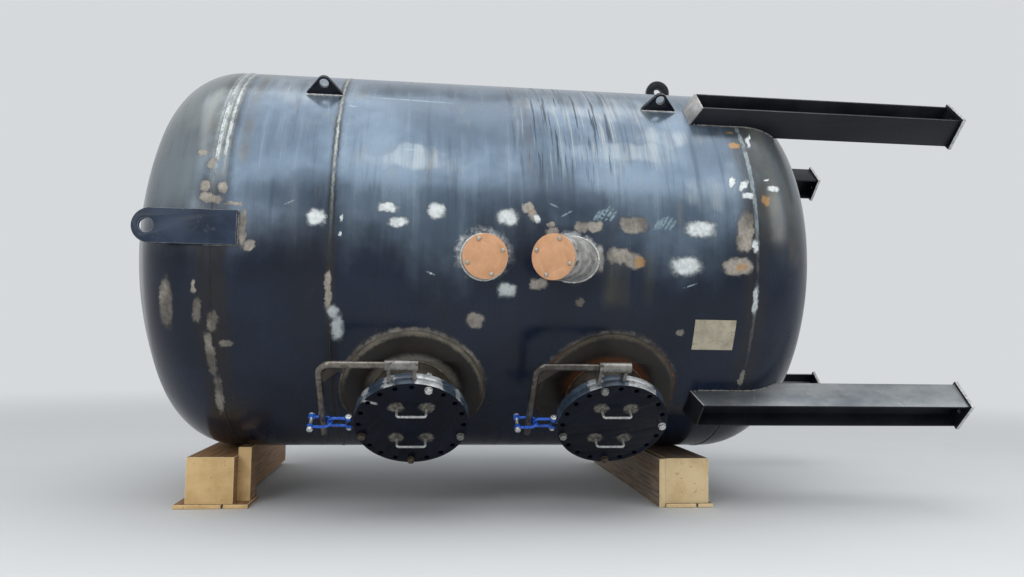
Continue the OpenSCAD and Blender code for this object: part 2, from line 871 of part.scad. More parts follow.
left_head();
shell_course_1();
shell_course_2();
right_head();
leg_near_top();
leg_near_bottom();
leg_far_top();
leg_far_bottom();
leg_caps();
base_plates();
ears_near();
ears_far();
tail_lug();
side_plate_near();
side_plate_far();
nozzle_1_neck();
nozzle_1_cover();
nozzle_2_neck();
nozzle_2_cover();
manway_1_pad();
manway_1_neck();
manway_1_flange();
manway_1_gasket();
manway_1_cover();
manway_1_handles();
davit_1_bracket();
davit_1_arm();
davit_1_shackles();
davit_1_pins();
manway_2_pad();
manway_2_neck();
manway_2_flange();
manway_2_gasket();
manway_2_cover();
manway_2_handles();
davit_2_bracket();
davit_2_arm();
davit_2_shackles();
davit_2_pins();
name_plate();
left_timber();
left_boards();
right_timber();
right_boards();
chocks();
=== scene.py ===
"""Looks of a leg-supported steel pressure tank that lies on two timber cribs."""

import json
import math

import bpy
from mathutils import Matrix, Vector


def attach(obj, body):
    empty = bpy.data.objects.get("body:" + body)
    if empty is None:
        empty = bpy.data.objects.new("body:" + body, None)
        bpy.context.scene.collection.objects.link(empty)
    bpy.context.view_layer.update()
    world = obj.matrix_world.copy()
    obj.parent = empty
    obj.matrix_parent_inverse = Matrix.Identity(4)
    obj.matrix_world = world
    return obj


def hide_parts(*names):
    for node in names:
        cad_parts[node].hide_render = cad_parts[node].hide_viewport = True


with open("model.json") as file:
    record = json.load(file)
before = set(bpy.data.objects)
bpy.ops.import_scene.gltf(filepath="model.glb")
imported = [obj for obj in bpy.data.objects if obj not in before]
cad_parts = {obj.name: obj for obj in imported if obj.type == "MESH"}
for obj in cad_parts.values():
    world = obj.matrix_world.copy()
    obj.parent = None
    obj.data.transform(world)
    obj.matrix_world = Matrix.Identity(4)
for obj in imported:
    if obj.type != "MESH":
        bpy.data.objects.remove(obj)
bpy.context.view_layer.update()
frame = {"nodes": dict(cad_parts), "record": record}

# Sizes of the tank, in metres, as the CAD model has them
MM = 0.001
SHELL_R = 1371.5 * MM
WALL = 16 * MM
AXIS_Z = 1701.8 * MM
LEFT_X = 119 * MM
COURSE_X = 806 * MM
RIGHT_X = 3454 * MM
HEAD_FLANGE = 40 * MM
KNUCKLE_R = 474 * MM
CROWN_R = 2481 * MM
SEAT = 0.3 * MM
LEG_ANGLES = (45, -45, 135, 225)
LEG_RADIUS = 1395 * MM
LEG_HALF = 101.5 * MM
LEG_START_X = 3136 * MM
MANWAY_ANGLE = -42
MANWAY_X = {1: 1307 * MM, 2: 2557 * MM}
MANWAY_OD = 508 * MM
PAD_D = 900 * MM
PAD_T = 16 * MM
FLANGE_D = 698 * MM
FLANGE_T = 43 * MM
FLANGE_FACE = 1603.5 * MM
COVER_BACK = 1607.1 * MM
COVER_T = 43 * MM
BOLT_CIRCLE = 635 * MM
HANDLE_HALF = 87 * MM
HANDLE_PLACES = (130 * MM, -135 * MM)
NOZZLE_ANGLE = -3.5
NOZZLE_OD = 273 * MM
NOZZLE_X = {1: 1721 * MM, 2: 2263 * MM}
NOZZLE_LEN = {1: 92 * MM, 2: 284 * MM}
NOZZLE_SLANT = {1: 0, 2: 33}
NOZZLE_TURN = {1: 20.8, 2: -21}
NOZZLE_COVER_T = 8 * MM
NOZZLE_BOLT_CIRCLE = 224 * MM
EAR_ANGLES = (48, 132)
EAR_X = (687 * MM, 2943 * MM)
EAR_W = 235 * MM
EAR_T = 25 * MM
TAIL_X = 3224 * MM
TAIL_W = 190 * MM
TAIL_T = 32 * MM
SIDE_ANGLES = (2, 178)
SIDE_H = 206 * MM
SIDE_LAP = 152 * MM
BOLT_W = 41 * MM
BOLT_HEAD_T = 18 * MM
NUT_T = 25 * MM
WASHER_D = 50 * MM
WASHER_T = 4 * MM

# Studio
BACKDROP = "#e6e9ec"
BACKDROP_STRENGTH = 0.85
SOFTBOXES = (
    ("overhead", (1.8, -2.6, 6.8), (1.8, -2.1, 1.7), (9, 7.5), 330),
    ("front_fill", (-3.5, -8.5, 4.2), (1.8, 0, 1.6), (4, 3), 140),
    ("side_fill", (8.5, -4.5, 4.5), (2.5, 0, 1.4), (3, 3), 80),
)


# Camera at the photograph's viewing angle
def add_camera():
    place = Vector((1.371, -5.9905, 1.0835))
    right = Vector((0.99341, -0.11369, 0.01406))
    down = Vector((0.02241, 0.07246, -0.99712))
    ahead = Vector((0.11235, 0.99087, 0.07453))
    data = bpy.data.cameras.new("camera")
    data.sensor_width = 36
    data.lens = 27.03
    camera = bpy.data.objects.new("camera", data)
    turn = Matrix((right, -down, -ahead)).transposed()
    camera.matrix_world = Matrix.Translation(place) @ turn.to_4x4()
    bpy.context.collection.objects.link(camera)
    bpy.context.scene.camera = camera


# Places on the tank
def at_angle(angle, x=0.0):
    """Frame on the tank at an angle above its near side: +Z points out and +Y points up round it."""
    return Matrix.Translation((x, 0, AXIS_Z)) @ Matrix.Rotation(math.radians(90 - angle), 4, "X")


def at_manway(number):
    return at_angle(MANWAY_ANGLE, MANWAY_X[number])


def at_nozzle(number):
    """Frame at a nozzle's root on the shell, with +Z along its axis."""
    slant = Matrix.Rotation(math.radians(-NOZZLE_SLANT[number]), 4, "Y")
    return at_angle(NOZZLE_ANGLE, NOZZLE_X[number]) @ Matrix.Translation((0, 0, SHELL_R)) @ slant


# Nodes of the materials
def linear(code):
    """A colour written as an sRGB hex value, as linear light."""
    levels = [int(code[i:i + 2], 16) / 255 for i in (1, 3, 5)]
    return [v / 12.92 if v <= 0.04045 else ((v + 0.055) / 1.055) ** 2.4 for v in levels] + [1]


# Kinds of node by short name: type, inputs in the order in which they are given, output and settings.
# A name that is not here is an operation of the Math node.
KINDS = {
    "vector": ("ShaderNodeVectorMath", (0, 1), 0, {}),
    "measure": ("ShaderNodeVectorMath", (0, 1), 1, {}),
    "turn": ("ShaderNodeVectorRotate", ("Vector", "Center", "Angle"), 0, {"rotation_type": "Z_AXIS"}),
    "split": ("ShaderNodeSeparateXYZ", (0,), None, {}),
    "join": ("ShaderNodeCombineXYZ", (0, 1), 0, {}),
    "mix": ("ShaderNodeMix", (0, 6, 7), 2, {"data_type": "RGBA"}),
    "level": ("ShaderNodeMix", (0, 2, 3), 0, {"data_type": "FLOAT"}),
    "ramp": ("ShaderNodeMapRange", (0, 1, 2, 3, 4), 0, {"interpolation_type": "SMOOTHSTEP"}),
    "noise": ("ShaderNodeTexNoise", ("Vector", "Scale", "Detail", "Roughness"), 0, {}),
    "cells": ("ShaderNodeTexVoronoi", ("Vector", "Scale"), 0, {"feature": "F1"}),
    "bump": ("ShaderNodeBump", ("Height", "Distance", "Normal"), 0, {}),
    "place": ("ShaderNodeTexCoord", (), 3, {}),
    "ray": ("ShaderNodeLightPath", (), None, {}),
    "glow": ("ShaderNodeEmission", ("Color", "Strength"), 0, {}),
    "sky": ("ShaderNodeBackground", ("Color", "Strength"), 0, {}),
    "shader": ("ShaderNodeBsdfPrincipled", ("Base Color", "Roughness", "Metallic", "Normal"), 0, {}),
    "either": ("ShaderNodeMixShader", (0, 1, 2), 0, {}),
    "surface": ("ShaderNodeOutputMaterial", ("Surface",), None, {}),
    "studio": ("ShaderNodeOutputWorld", ("Surface",), None, {}),
    "given": ("NodeGroupInput", (), None, {}),
    "result": ("NodeGroupOutput", (0,), None, {}),
}


def add(tree, kind, *given, **sockets):
    """Adds a node with its settings, sets or links its inputs, and returns its output, or all of them."""
    kind, _, operation = kind.partition(" ")
    math_kind = ("ShaderNodeMath", (0, 1, 2), 0, {"operation": kind})
    type_name, inputs, output, settings = KINDS.get(kind, math_kind)
    made = tree.nodes.new(type_name)
    for name, value in settings.items():
        setattr(made, name, value)
    if operation:
        made.operation = operation
    named = [(name.replace("_", " "), value) for name, value in sockets.items()]
    for socket, source in [*zip(inputs, given), *named]:
        if isinstance(source, str):
            source = linear(source)
        if isinstance(source, (int, float, tuple, list)):
            made.inputs[socket].default_value = source
        elif source is not None:
            tree.links.new(source, made.inputs[socket])
    return made.outputs if output is None else made.outputs[output]


def patches(tree, where, size, detail=3.0, rough=0.55, stretch=(1, 1, 1)):
    """A pattern with patches of about the given size in metres, from 0 to 1."""
    scaled = add(tree, "vector MULTIPLY", where, stretch)
    return add(tree, "noise", scaled, 1 / size, detail, rough)


def new_material(name):
    """An empty material, with its tree and its object coordinates."""
    material = bpy.data.materials.new(name)
    material.use_nodes = True
    tree = material.node_tree
    tree.nodes.clear()
    return material, tree, add(tree, "place")


def surface(tree, color, roughness, metallic=0.0, normal=None, **sockets):
    shader = add(tree, "shader", color, roughness, metallic, normal, **sockets)
    add(tree, "surface", shader)


def times(tree, *covers):
    """The product of some covers. A cover is a value, or a pattern with the levels between which it grows
    from 0 to 1 and, where they are others, the values there."""
    total = None
    for cover in covers:
        if isinstance(cover, tuple):
            cover = add(tree, "ramp", *cover)
        total = cover if total is None else add(tree, "MULTIPLY", total, cover)
    return total


def most(tree, *covers):
    """The greatest of some covers at each point."""
    total = covers[0]
    for cover in covers[1:]:
        total = add(tree, "MAXIMUM", total, cover)
    return total


def over(tree, color, shade, *covers):
    """A colour with another laid over it, as much as the product of the covers says."""
    return add(tree, "mix", times(tree, *covers), color, shade)


# Marks on the tank's plate, each at (X in mm, angle above the near side, half length, half height, turn)
WHITE_MARKS = (
    (718, 5.4, 56, 52, 0), (1138, 8.6, 66, 32, 6), (1201, 4.8, 66, 34, -6), (1432, 8, 56, 56, 0),
    (1862, 7, 66, 58, 0), (3083, 5.5, 106, 58, 0), (2986, -4.4, 104, 62, -4), (3320, 19.4, 22, 50, 18),
    (3392, 18.4, 22, 52, 40), (3414, 15.3, 42, 30, 0), (3601, 18, 50, 24, -10), (3560, 20.6, 26, 10, -30),
    (3499, 34, 16, 66, 12), (3520, 36, 10, 40, 12), (850, -22.2, 40, 90, 0), (826, -18.4, 34, 46, 0),
    (3451, -13.2, 20, 92, 0), (2043, 7, 20, 30, -20), (3440, 1.5, 20, 42, 0), (1866, -11.8, 56, 46, 0),
    (870, 5.2, 12, 26, 10), (862, 1.4, 10, 20, 0), (2052, -6.5, 9, 9, 0), (1404, -7.9, 14, 8, 0),
)
TAN_MARKS = (
    (1990, 9.8, 36, 34, -24), (2022, 7.6, 30, 40, -24), (2131, 5.4, 26, 18, 0), (2322, 5.1, 46, 34, 0),
    (2404, 5.2, 52, 36, -8), (2651, 6, 90, 54, 0), (2560, -2.2, 76, 50, 0), (2650, -3.4, 60, 50, 0),
    (3376, 5.2, 56, 132, 8), (3324, -4.2, 94, 58, -4), (2062, -10.0, 54, 38, 0), (1679, -19.7, 56, 46, 30),
    (2981, -22.3, 24, 28, 0), (2323, -14.6, 26, 22, 0), (798, -13, 20, 120, 0), (-150, -17.6, 42, 150, 2),
    (41, -18.6, 24, 74, 4), (24, -12.6, 14, 40, 0), (126, -21.4, 30, 66, 4),
    (100, -30.6, 26, 150, -3), (112, -44, 24, 170, 4), (110, 9.4, 70, 30, 6),
    (170, 12, 30, 34, 0), (70, 12.6, 26, 40, 0), (240, 8.1, 50, 14, 0), (196, -27.1, 40, 22, 0),
    (300, 2, 20, 110, 0), (2140, 3.3, 40, 28, 0), (2436, -3, 26, 84, 0), (340, -2.2, 26, 40, 20),
    (90, 19, 22, 34, 0), (30, 22, 30, 22, 20), (3450, -36, 16, 60, 0),
)
ORANGE_MARKS = (
    (2690, -3.6, 34, 34, 0), (3350, -4.2, 40, 26, 0), (3387, 37.6, 26, 18, 0),
    (3391, 32.3, 38, 26, 0), (3531, 14.3, 30, 36, 20), (2010, 8.6, 12, 12, 0),
)
# Areas of the upper side where the painted sheen is brighter, as painted highlights, and where it is dimmer
PAINTED_HIGHLIGHT_AREAS = (
    (430, 53, 420, 190, 0), (2450, 50, 430, 150, 0), (1290, 22.5, 300, 60, 0), (2620, 28, 330, 80, 0),
    (3170, 16, 170, 80, 0), (-60, 42, 170, 240, 0), (1300, 72, 500, 120, 0), (2990, 33, 260, 90, 0),
)
DIM_PAINTED_SHEEN_AREAS = (
    (1690, 40, 480, 270, 0), (3250, 30, 160, 200, 0), (640, 12, 240, 120, 0), (2250, 14, 240, 120, 0),
)
# Where the painted sheen on the upper side reaches lower or higher: X, half width and share of the radius
PAINTED_SHEEN_SHIFTS = ((1.45, 0.1, 0.15), (2.12, 0.12, -0.1), (3.02, 0.14, 0.12))
# Chalk-like scratches, as thin marks beside each other
SCRATCHES = tuple(
    (x + 26 * i, angle - 0.35 * abs(i - 2), 9, 50 - 7 * abs(i - 2), 34)
    for x, angle in ((2420, 8.9), (2800, 7.0)) for i in range(5)
) + ((1404, -7.9, 26, 5, 20), (3017, -9.6, 42, 4, -20), (2230, 8.4, 36, 5, -30), (560, 9, 30, 4, -28),
     (2150, 10.6, 30, 5, 25), (1250, 25.6, 60, 4, 2), (880, 42, 26, 6, 10), (1250, 47, 260, 7, 3))
# Heat tint round the manways' pads, by manway, and ground rings round the nozzles, by nozzle: half width
# and half height of the opening in the plate, and how far out the ring goes, in metres
PAD_TINTS = {1: 0.75, 2: 0.5}
NOZZLE_RINGS = {1: (0.137, 0.137, 0.095), 2: (0.166, 0.137, 0.08)}
# Lines along the seams, ground metal brightened higher up as painted highlight: place, distance past it and
# half width in mm, share of the radius over the axis where they begin and are full, strength, colour
SEAM_LINES = (
    (LEFT_X, 16, 46, 0.14, 0.3, 0.45, "#84867a"), (LEFT_X, -2, 7, 0.16, 0.42, 0.85, "#bfc6c8"),
    (LEFT_X, 42, 6, 0.24, 0.44, 0.75, "#b6bdbf"), (LEFT_X, -26, 4, 0.4, 0.6, 0.6, "#a4aaab"),
    (LEFT_X, 12, 5, 0.3, 0.6, 0.6, "#9fa5a4"), (COURSE_X, 0, 17, -0.3, 0.2, 0.55, "#22272d"),
    (COURSE_X, 0, 8, -0.2, 0.4, 0.7, "#6c6f6e"), (COURSE_X, 0, 3, 0.0, 0.5, 0.85, "#b0b4b0"),
    (RIGHT_X, 0, 9, -0.05, 0.22, 0.85, "#98a6ac"), (RIGHT_X, 0, 6, -1.1, -0.4, 0.35, "#77797a"),
)
# Stains up and down the plate: place, distance past it, half width and soft width in mm, share of the
# radius where they begin, strength, colour
STAINS = (
    (LEFT_X, 8, 60, 50, -1.2, 0.6, "#26211b"), (LEFT_X, 150, 14, 40, 0.3, 0.5, "#5d574b"),
    (LEFT_X, -90, 20, 60, 0.3, 0.4, "#6a6658"), (COURSE_X, 0, 14, 26, -1.2, 0.6, "#282520"),
    (RIGHT_X, 0, 30, 90, -1.2, 0.55, "#292723"), (RIGHT_X, 60, 10, 40, 0.0, 0.4, "#4b463d"),
    (RIGHT_X, 130, 16, 60, 0.0, 0.55, "#6b685c"), (RIGHT_X, 270, 16, 60, -0.1, 0.4, "#565349"),
    (0, 2010, 10, 30, 0.3, 0.3, "#564a42"),
)


def mark_group():
    """Node group: how much of one rounded mark covers a point of the unrolled plate."""
    group = bpy.data.node_groups.new("plate_mark", "ShaderNodeTree")
    face = group.interface
    for name in ("Point", "Centre", "Reach"):
        face.new_socket(name, in_out="INPUT", socket_type="NodeSocketVector")
    face.new_socket("Turn", in_out="INPUT", socket_type="NodeSocketFloat")
    face.new_socket("Cover", in_out="OUTPUT", socket_type="NodeSocketFloat")
    point, centre, reach, turn = add(group, "given")[:4]
    turned = add(group, "turn", point, centre, turn)
    away = add(group, "vector SUBTRACT", turned, centre)
    share = add(group, "vector DIVIDE", away, reach)
    square = add(group, "vector MULTIPLY", share, share)
    boxed = add(group, "measure LENGTH", square)
    rounded = add(group, "measure DOT_PRODUCT", square, (1, 1, 1))
    total = add(group, "MULTIPLY", add(group, "ADD", boxed, rounded), 0.5)
    add(group, "result", add(group, "ramp", total, 1.9, 0.1))
    return group


KINDS["mark"] = ("ShaderNodeGroup", (0, 1, 2, 3), 0, {"node_tree": mark_group()})


def cover_of(tree, point, marks):
    """The most that any of these marks covers a point of the unrolled plate."""
    covers = []
    for x, angle, half_l, half_h, turn in marks:
        centre = (x * MM, math.radians(angle) * SHELL_R, 0)
        covers.append(add(tree, "mark", point, centre, (half_l * MM, half_h * MM, 1), math.radians(turn)))
    return most(tree, *covers)


def unrolled(tree, where):
    """Object coordinates as X and arc length round the tank, and X alone."""
    x, y, z = add(tree, "split", where)
    angle = add(tree, "ARCTAN2", add(tree, "SUBTRACT", z, AXIS_Z), add(tree, "MULTIPLY", y, -1.0))
    return add(tree, "join", x, add(tree, "MULTIPLY", angle, SHELL_R)), x


def band(tree, x, middle, half, soft):
    """1 within half of a line across X, falling to 0 over a soft width."""
    away = add(tree, "ABSOLUTE", add(tree, "SUBTRACT", x, middle))
    return add(tree, "ramp", away, half + soft, half)


def ring_of(tree, point, x, angle, radii, out):
    """Cover of a ring round an opening in the plate: 1 at its rim and 0 at a distance out from it."""
    centre = (x, math.radians(angle) * SHELL_R, 0)
    share = add(tree, "vector DIVIDE", add(tree, "vector SUBTRACT", point, centre), (*radii, 1))
    reach = add(tree, "measure LENGTH", share)
    return add(tree, "ramp", reach, 1 + out / radii[0], 1 + 0.2 * out / radii[0])


def share_up(tree, where):
    """Height over the tank's axis, as a share of its radius."""
    return add(tree, "DIVIDE", add(tree, "SUBTRACT", add(tree, "split", where)[2], AXIS_Z), SHELL_R)


def centred(tree, value, share):
    """A noise's distance from its middle, times a share."""
    return add(tree, "MULTIPLY_ADD", value, share, -0.5 * share)


def scale_and_sheen_color(tree, where, flat, x, up):
    """Colour and cover of the painted sheen: dark blue-black below, a steel-blue painted sheen on the upper
    side.
    """
    cloud = patches(tree, where, 0.5, 4, 0.6)
    streak = patches(tree, flat, 0.07, 4, 0.6, (1, 0.07, 1))
    soft_streak = patches(tree, flat, 0.16, 3, 0.55, (1, 0.12, 1))
    edge = add(tree, "ADD", up, centred(tree, cloud, 0.24))
    edge = add(tree, "ADD", edge, centred(tree, soft_streak, 0.26))
    for middle, half, lift_by in PAINTED_SHEEN_SHIFTS:
        edge = add(tree, "MULTIPLY_ADD", band(tree, x, middle, half, 0.22), lift_by, edge)
    # Painted sheen: the upper side is drawn lighter and half metallic, as light from above would show it,
    # and weaker on the heads
    painted_sheen = add(tree, "ramp", edge, -0.14, 0.34)
    right_end = add(tree, "ramp", x, RIGHT_X - 0.15, RIGHT_X + 0.1)
    left_end = add(tree, "ramp", x, LEFT_X + 0.05, LEFT_X - 0.2)
    painted_sheen = times(tree, painted_sheen, (right_end, 0, 1, 1, 0.42), (x, -0.42, -0.16, 0.3, 1))
    dark = over(tree, "#0c1626", "#152033", (cloud, 0.35, 0.68))
    warm = patches(tree, where, 0.4, 3, 0.6, (1, 0.5, 0.5))
    dark = over(tree, dark, "#1f1d1e", (warm, 0.45, 0.7), 0.3)
    # Colours of the painted sheen, with painted highlights in the listed areas
    pale = over(tree, "#566575", "#728394", (cloud, 0.32, 0.7))
    pale = over(tree, pale, "#81909c", (streak, 0.5, 0.72), 0.4)
    pale = over(tree, pale, "#434c59", (streak, 0.46, 0.3), 0.5)
    lean = centred(tree, patches(tree, flat, 0.45, 3, 0.6), 0.5)
    bent = add(tree, "vector ADD", flat, add(tree, "join", centred(tree, cloud, 0.4), lean))
    patch = times(tree, (soft_streak, 0.35, 0.6, 0.3, 1), (streak, 0.36, 0.62, 0.3, 1))
    pale = over(tree, pale, "#3f4c5b", cover_of(tree, bent, DIM_PAINTED_SHEEN_AREAS), 0.5)
    pale = over(tree, pale, "#a9b1b4", cover_of(tree, bent, PAINTED_HIGHLIGHT_AREAS), patch, 0.55)
    haze = patches(tree, flat, 0.11, 4, 0.65, (1, 0.3, 1))
    pale = over(tree, pale, "#8b8575", (haze, 0.56, 0.74), 0.3)
    pale = over(tree, pale, "#7c8078", most(tree, right_end, left_end), 0.5)
    color = over(tree, dark, pale, painted_sheen)
    zone = times(tree, band(tree, x, 2.28, 0.22, 0.26), (up, 0.16, 0.5))
    drip = patches(tree, flat, 0.026, 3, 0.6, (1, 0.04, 1))
    color = over(tree, color, "#27313d", zone, (drip, 0.55, 0.62), 0.85)
    color = over(tree, color, "#a3a89f", zone, (drip, 0.42, 0.34), 0.35)
    smear = times(tree, band(tree, x, 2.66, 0.2, 0.2), (up, 0.22, 0.5))
    color = over(tree, color, "#a3a195", smear, (drip, 0.46, 0.34), 0.32)
    weep = times(tree, band(tree, x, 2.62, 0.13, 0.06), band(tree, up, -0.14, 0.08, 0.07))
    color = over(tree, color, "#57563f", weep, (soft_streak, 0.36, 0.66), 0.36)
    return color, painted_sheen, cloud, streak


def mill_scale(name):
    """Hot-rolled plate with its blue-black mill scale, and a steel-blue painted sheen on the upper side,
    half metallic.
    Seams are ground bright and browned by heat, and ground marks show bare steel that has begun to rust."""
    material, tree, where = new_material(name)
    flat, x = unrolled(tree, where)
    up = share_up(tree, where)
    color, painted_sheen, cloud, streak = scale_and_sheen_color(tree, where, flat, x, up)
    speck = patches(tree, where, 0.012, 2, 0.6)
    color = over(tree, color, "#55534e", (speck, 0.64, 0.8), 0.25)
    shift = patches(tree, flat, 0.05, 4, 0.75)
    wobble = centred(tree, shift, 0.06)
    other = centred(tree, patches(tree, where, 0.05, 2, 0.6), 0.05)
    point = add(tree, "vector ADD", flat, add(tree, "join", wobble, other))
    color = add_lines(tree, color, flat, add(tree, "ADD", x, times(tree, wobble, 0.35)), up)
    color, bare = add_marks(tree, color, flat, point, up, shift)
    rough = add(tree, "ADD", add(tree, "ramp", cloud, 0.3, 0.75, 0.17, 0.27),
                add(tree, "ramp", streak, 0.4, 0.8, 0, 0.1))
    rough = add(tree, "level", bare, rough, 0.5)
    normal = add(tree, "bump", patches(tree, where, 0.7, 2, 0.4), 0.006)
    normal = add(tree, "bump", patches(tree, where, 0.003, 2, 0.5), 0.00012, normal)
    normal = add(tree, "bump", streak, 0.0003, normal)
    surface(tree, color, rough, times(tree, painted_sheen, 0.58), normal, IOR=1.36)
    return material


def add_lines(tree, color, flat, x, up):
    """Heat stains and ground lines along the seams, worn through in places; the lines are brighter higher
    up, as painted highlight.
    """
    wear = patches(tree, flat, 0.12, 4, 0.65, (1, 0.45, 1))
    broken = patches(tree, flat, 0.035, 4, 0.7, (1, 0.5, 1))
    for place, past, half, soft, low, strength, shade in STAINS:
        stain = band(tree, x, place + past * MM, half * MM, soft * MM)
        color = over(tree, color, shade, stain, (up, low, low + 0.1), (wear, 0.3, 0.6, 0.3, 1), strength)
    for place, past, half, low, full, strength, shade in SEAM_LINES:
        line = band(tree, x, place + past * MM, half * MM, 0.006)
        color = over(tree, color, shade, line, (up, low, full), (broken, 0.38, 0.54, 0.3, 1),
                     (wear, 0.34, 0.52, 0.45, 1), strength)
    return color


def add_marks(tree, color, flat, point, up, shift):
    """Ground and rusted marks on the plate, with ragged edges, and where they are."""
    grind = patches(tree, flat, 0.022, 4, 0.6, (1, 0.7, 1))
    ragged = centred(tree, patches(tree, flat, 0.055, 2.5, 0.5, (1, 0.75, 1)), 1.1)
    tan = cover_of(tree, point, TAN_MARKS)
    for number, strength in PAD_TINTS.items():
        rim = (PAD_D / 2 + 2 * MM, PAD_D / 2 + 4 * MM)
        ring = ring_of(tree, point, MANWAY_X[number], MANWAY_ANGLE, rim, 0.05)
        tan = most(tree, tan, times(tree, ring, (up, -0.72, -0.48), strength))
    area = patches(tree, flat, 0.3, 2, 0.5)
    dull = over(tree, "#5c5750", "#958e83", (area, 0.38, 0.62))
    light = over(tree, "#7f786c", "#bab3a8", (area, 0.38, 0.62))
    bare = over(tree, dull, light, (grind, 0.28, 0.72))
    color = over(tree, color, "#3f3d38", (tan, 0.02, 0.45), 0.35)
    tan_edge = add(tree, "ramp", add(tree, "ADD", tan, ragged), 0.25, 0.95)
    color = over(tree, color, bare, tan_edge, (up, -0.45, -0.15, 0.52, 0.78))
    white = cover_of(tree, point, WHITE_MARKS)
    color = over(tree, color, "#5a646c", (white, 0.02, 0.5), 0.35)
    rings = [ring_of(tree, point, NOZZLE_X[number], NOZZLE_ANGLE, (half_w, half_h), out)
             for number, (half_w, half_h, out) in NOZZLE_RINGS.items()]
    ground = times(tree, most(tree, *rings), (shift, 0.32, 0.6, 0.55, 1), (up, -0.19, -0.02, 0.35, 1))
    white = most(tree, white, times(tree, ground, 0.8))
    white_edge = add(tree, "ramp", add(tree, "ADD", white, times(tree, ragged, 0.7)), 0.25, 1.0)
    dull = over(tree, "#73777a", "#9a9e9f", (grind, 0.36, 0.64))
    light = over(tree, "#bcc2c3", "#dce1e1", (grind, 0.28, 0.72))
    middle = add(tree, "ADD", white, times(tree, ragged, 0.3))
    bright = over(tree, dull, light, (middle, 0.55, 1.0))
    color = over(tree, color, bright, white_edge, (up, -0.34, -0.06, 0.62, 1))
    rust = add(tree, "ramp", add(tree, "ADD", cover_of(tree, point, ORANGE_MARKS), ragged), 0.2, 1.0)
    color = over(tree, color, over(tree, "#946a3a", "#b98f56", shift), rust, 0.68)
    lines = cover_of(tree, flat, SCRATCHES)
    cracked = times(tree, lines, (patches(tree, flat, 0.02, 2), 0.38, 0.5), 0.8)
    color = over(tree, color, "#8ea3ac", cracked)
    return color, most(tree, white_edge, tan_edge)


def plain_finish(name, dark, light, size, rough, metallic=0.0, depth=0.0002, spots=None, spot_size=0.03,
                 stretch=(1, 1, 1), **settings):
    """A finish whose colour and gloss vary in clouds, with optional spots of a third colour.
    The real grain is finer than a millimetre and would not show, so it is drawn coarser."""
    material, tree, where = new_material(name)
    cloud = patches(tree, where, size, 4, 0.6, stretch)
    fine = patches(tree, where, size / 14, 2, 0.55, stretch)
    color = over(tree, dark, light, (cloud, 0.34, 0.68))
    if spots:
        freckles = patches(tree, where, spot_size, 3, 0.7)
        color = over(tree, color, spots, (freckles, 0.58, 0.7))
    shine = add(tree, "ramp", cloud, 0.3, 0.7, rough - 0.06, rough + 0.08)
    normal = add(tree, "bump", fine, depth, add(tree, "bump", cloud, depth * 3))
    surface(tree, color, shine, metallic, normal, **settings)
    return material


def face_plane(tree, where, number):
    """Distances across a manway's face from its axis, along +X and up it."""
    place = at_manway(number)
    away = add(tree, "vector SUBTRACT", where, tuple(place.translation))
    across, upward, _ = place.to_3x3().col
    return [add(tree, "measure DOT_PRODUCT", away, tuple(axis)) for axis in (across, upward)]


def manway_frame(tree, where, number):
    """Distance from a manway's axis, and the angle round it, anticlockwise from +X, in degrees."""
    along = face_plane(tree, where, number)
    square = add(tree, "MULTIPLY_ADD", along[0], along[0], times(tree, along[1], along[1]))
    turn = add(tree, "DEGREES", add(tree, "ARCTAN2", along[1], along[0]))
    return add(tree, "SQRT", square), turn


def cover_primer(name, number):
    """Black shop primer on a cover, satin, scuffed, with grey ground spots where the handles are welded."""
    material, tree, where = new_material(name)
    cloud = patches(tree, where, 0.2, 4, 0.6)
    fine = patches(tree, where, 0.004, 2, 0.6)
    ragged = centred(tree, patches(tree, where, 0.03, 4, 0.7), 0.045)
    color = over(tree, "#040814", "#0a111f", (cloud, 0.35, 0.7))
    color = over(tree, color, "#3c3f45", (fine, 0.6, 0.8), 0.12)
    across, upward = face_plane(tree, where, number)
    spots = []
    for up in HANDLE_PLACES:
        for side in (-1, 1):
            away_x = add(tree, "SUBTRACT", across, side * (HANDLE_HALF + 6 * MM))
            away_y = add(tree, "MULTIPLY", add(tree, "SUBTRACT", upward, up + 18 * MM), 1.15)
            square = add(tree, "MULTIPLY_ADD", away_x, away_x, times(tree, away_y, away_y))
            reach = add(tree, "ADD", add(tree, "SQRT", square), ragged)
            spots.append(add(tree, "ramp", reach, 0.056, 0.034))
    spots = most(tree, *spots)
    blotch = patches(tree, where, 0.02, 3)
    bare = over(tree, "#4c4944", "#77736a", (blotch, 0.4, 0.6))
    color = over(tree, color, bare, spots, 0.85)
    if number == 1:
        scuff = times(tree, band(tree, across, -0.25, 0.035, 0.02),
                      band(tree, add(tree, "MULTIPLY_ADD", across, 0.3, upward), 0.118, 0.006, 0.007))
        color = over(tree, color, "#a6a6a8", scuff, 0.8)
    rough = add(tree, "level", spots, add(tree, "ramp", cloud, 0.3, 0.7, 0.24, 0.36), 0.6)
    surface(tree, color, rough, 0.0, add(tree, "bump", fine, 0.0001), IOR=1.24)
    return material


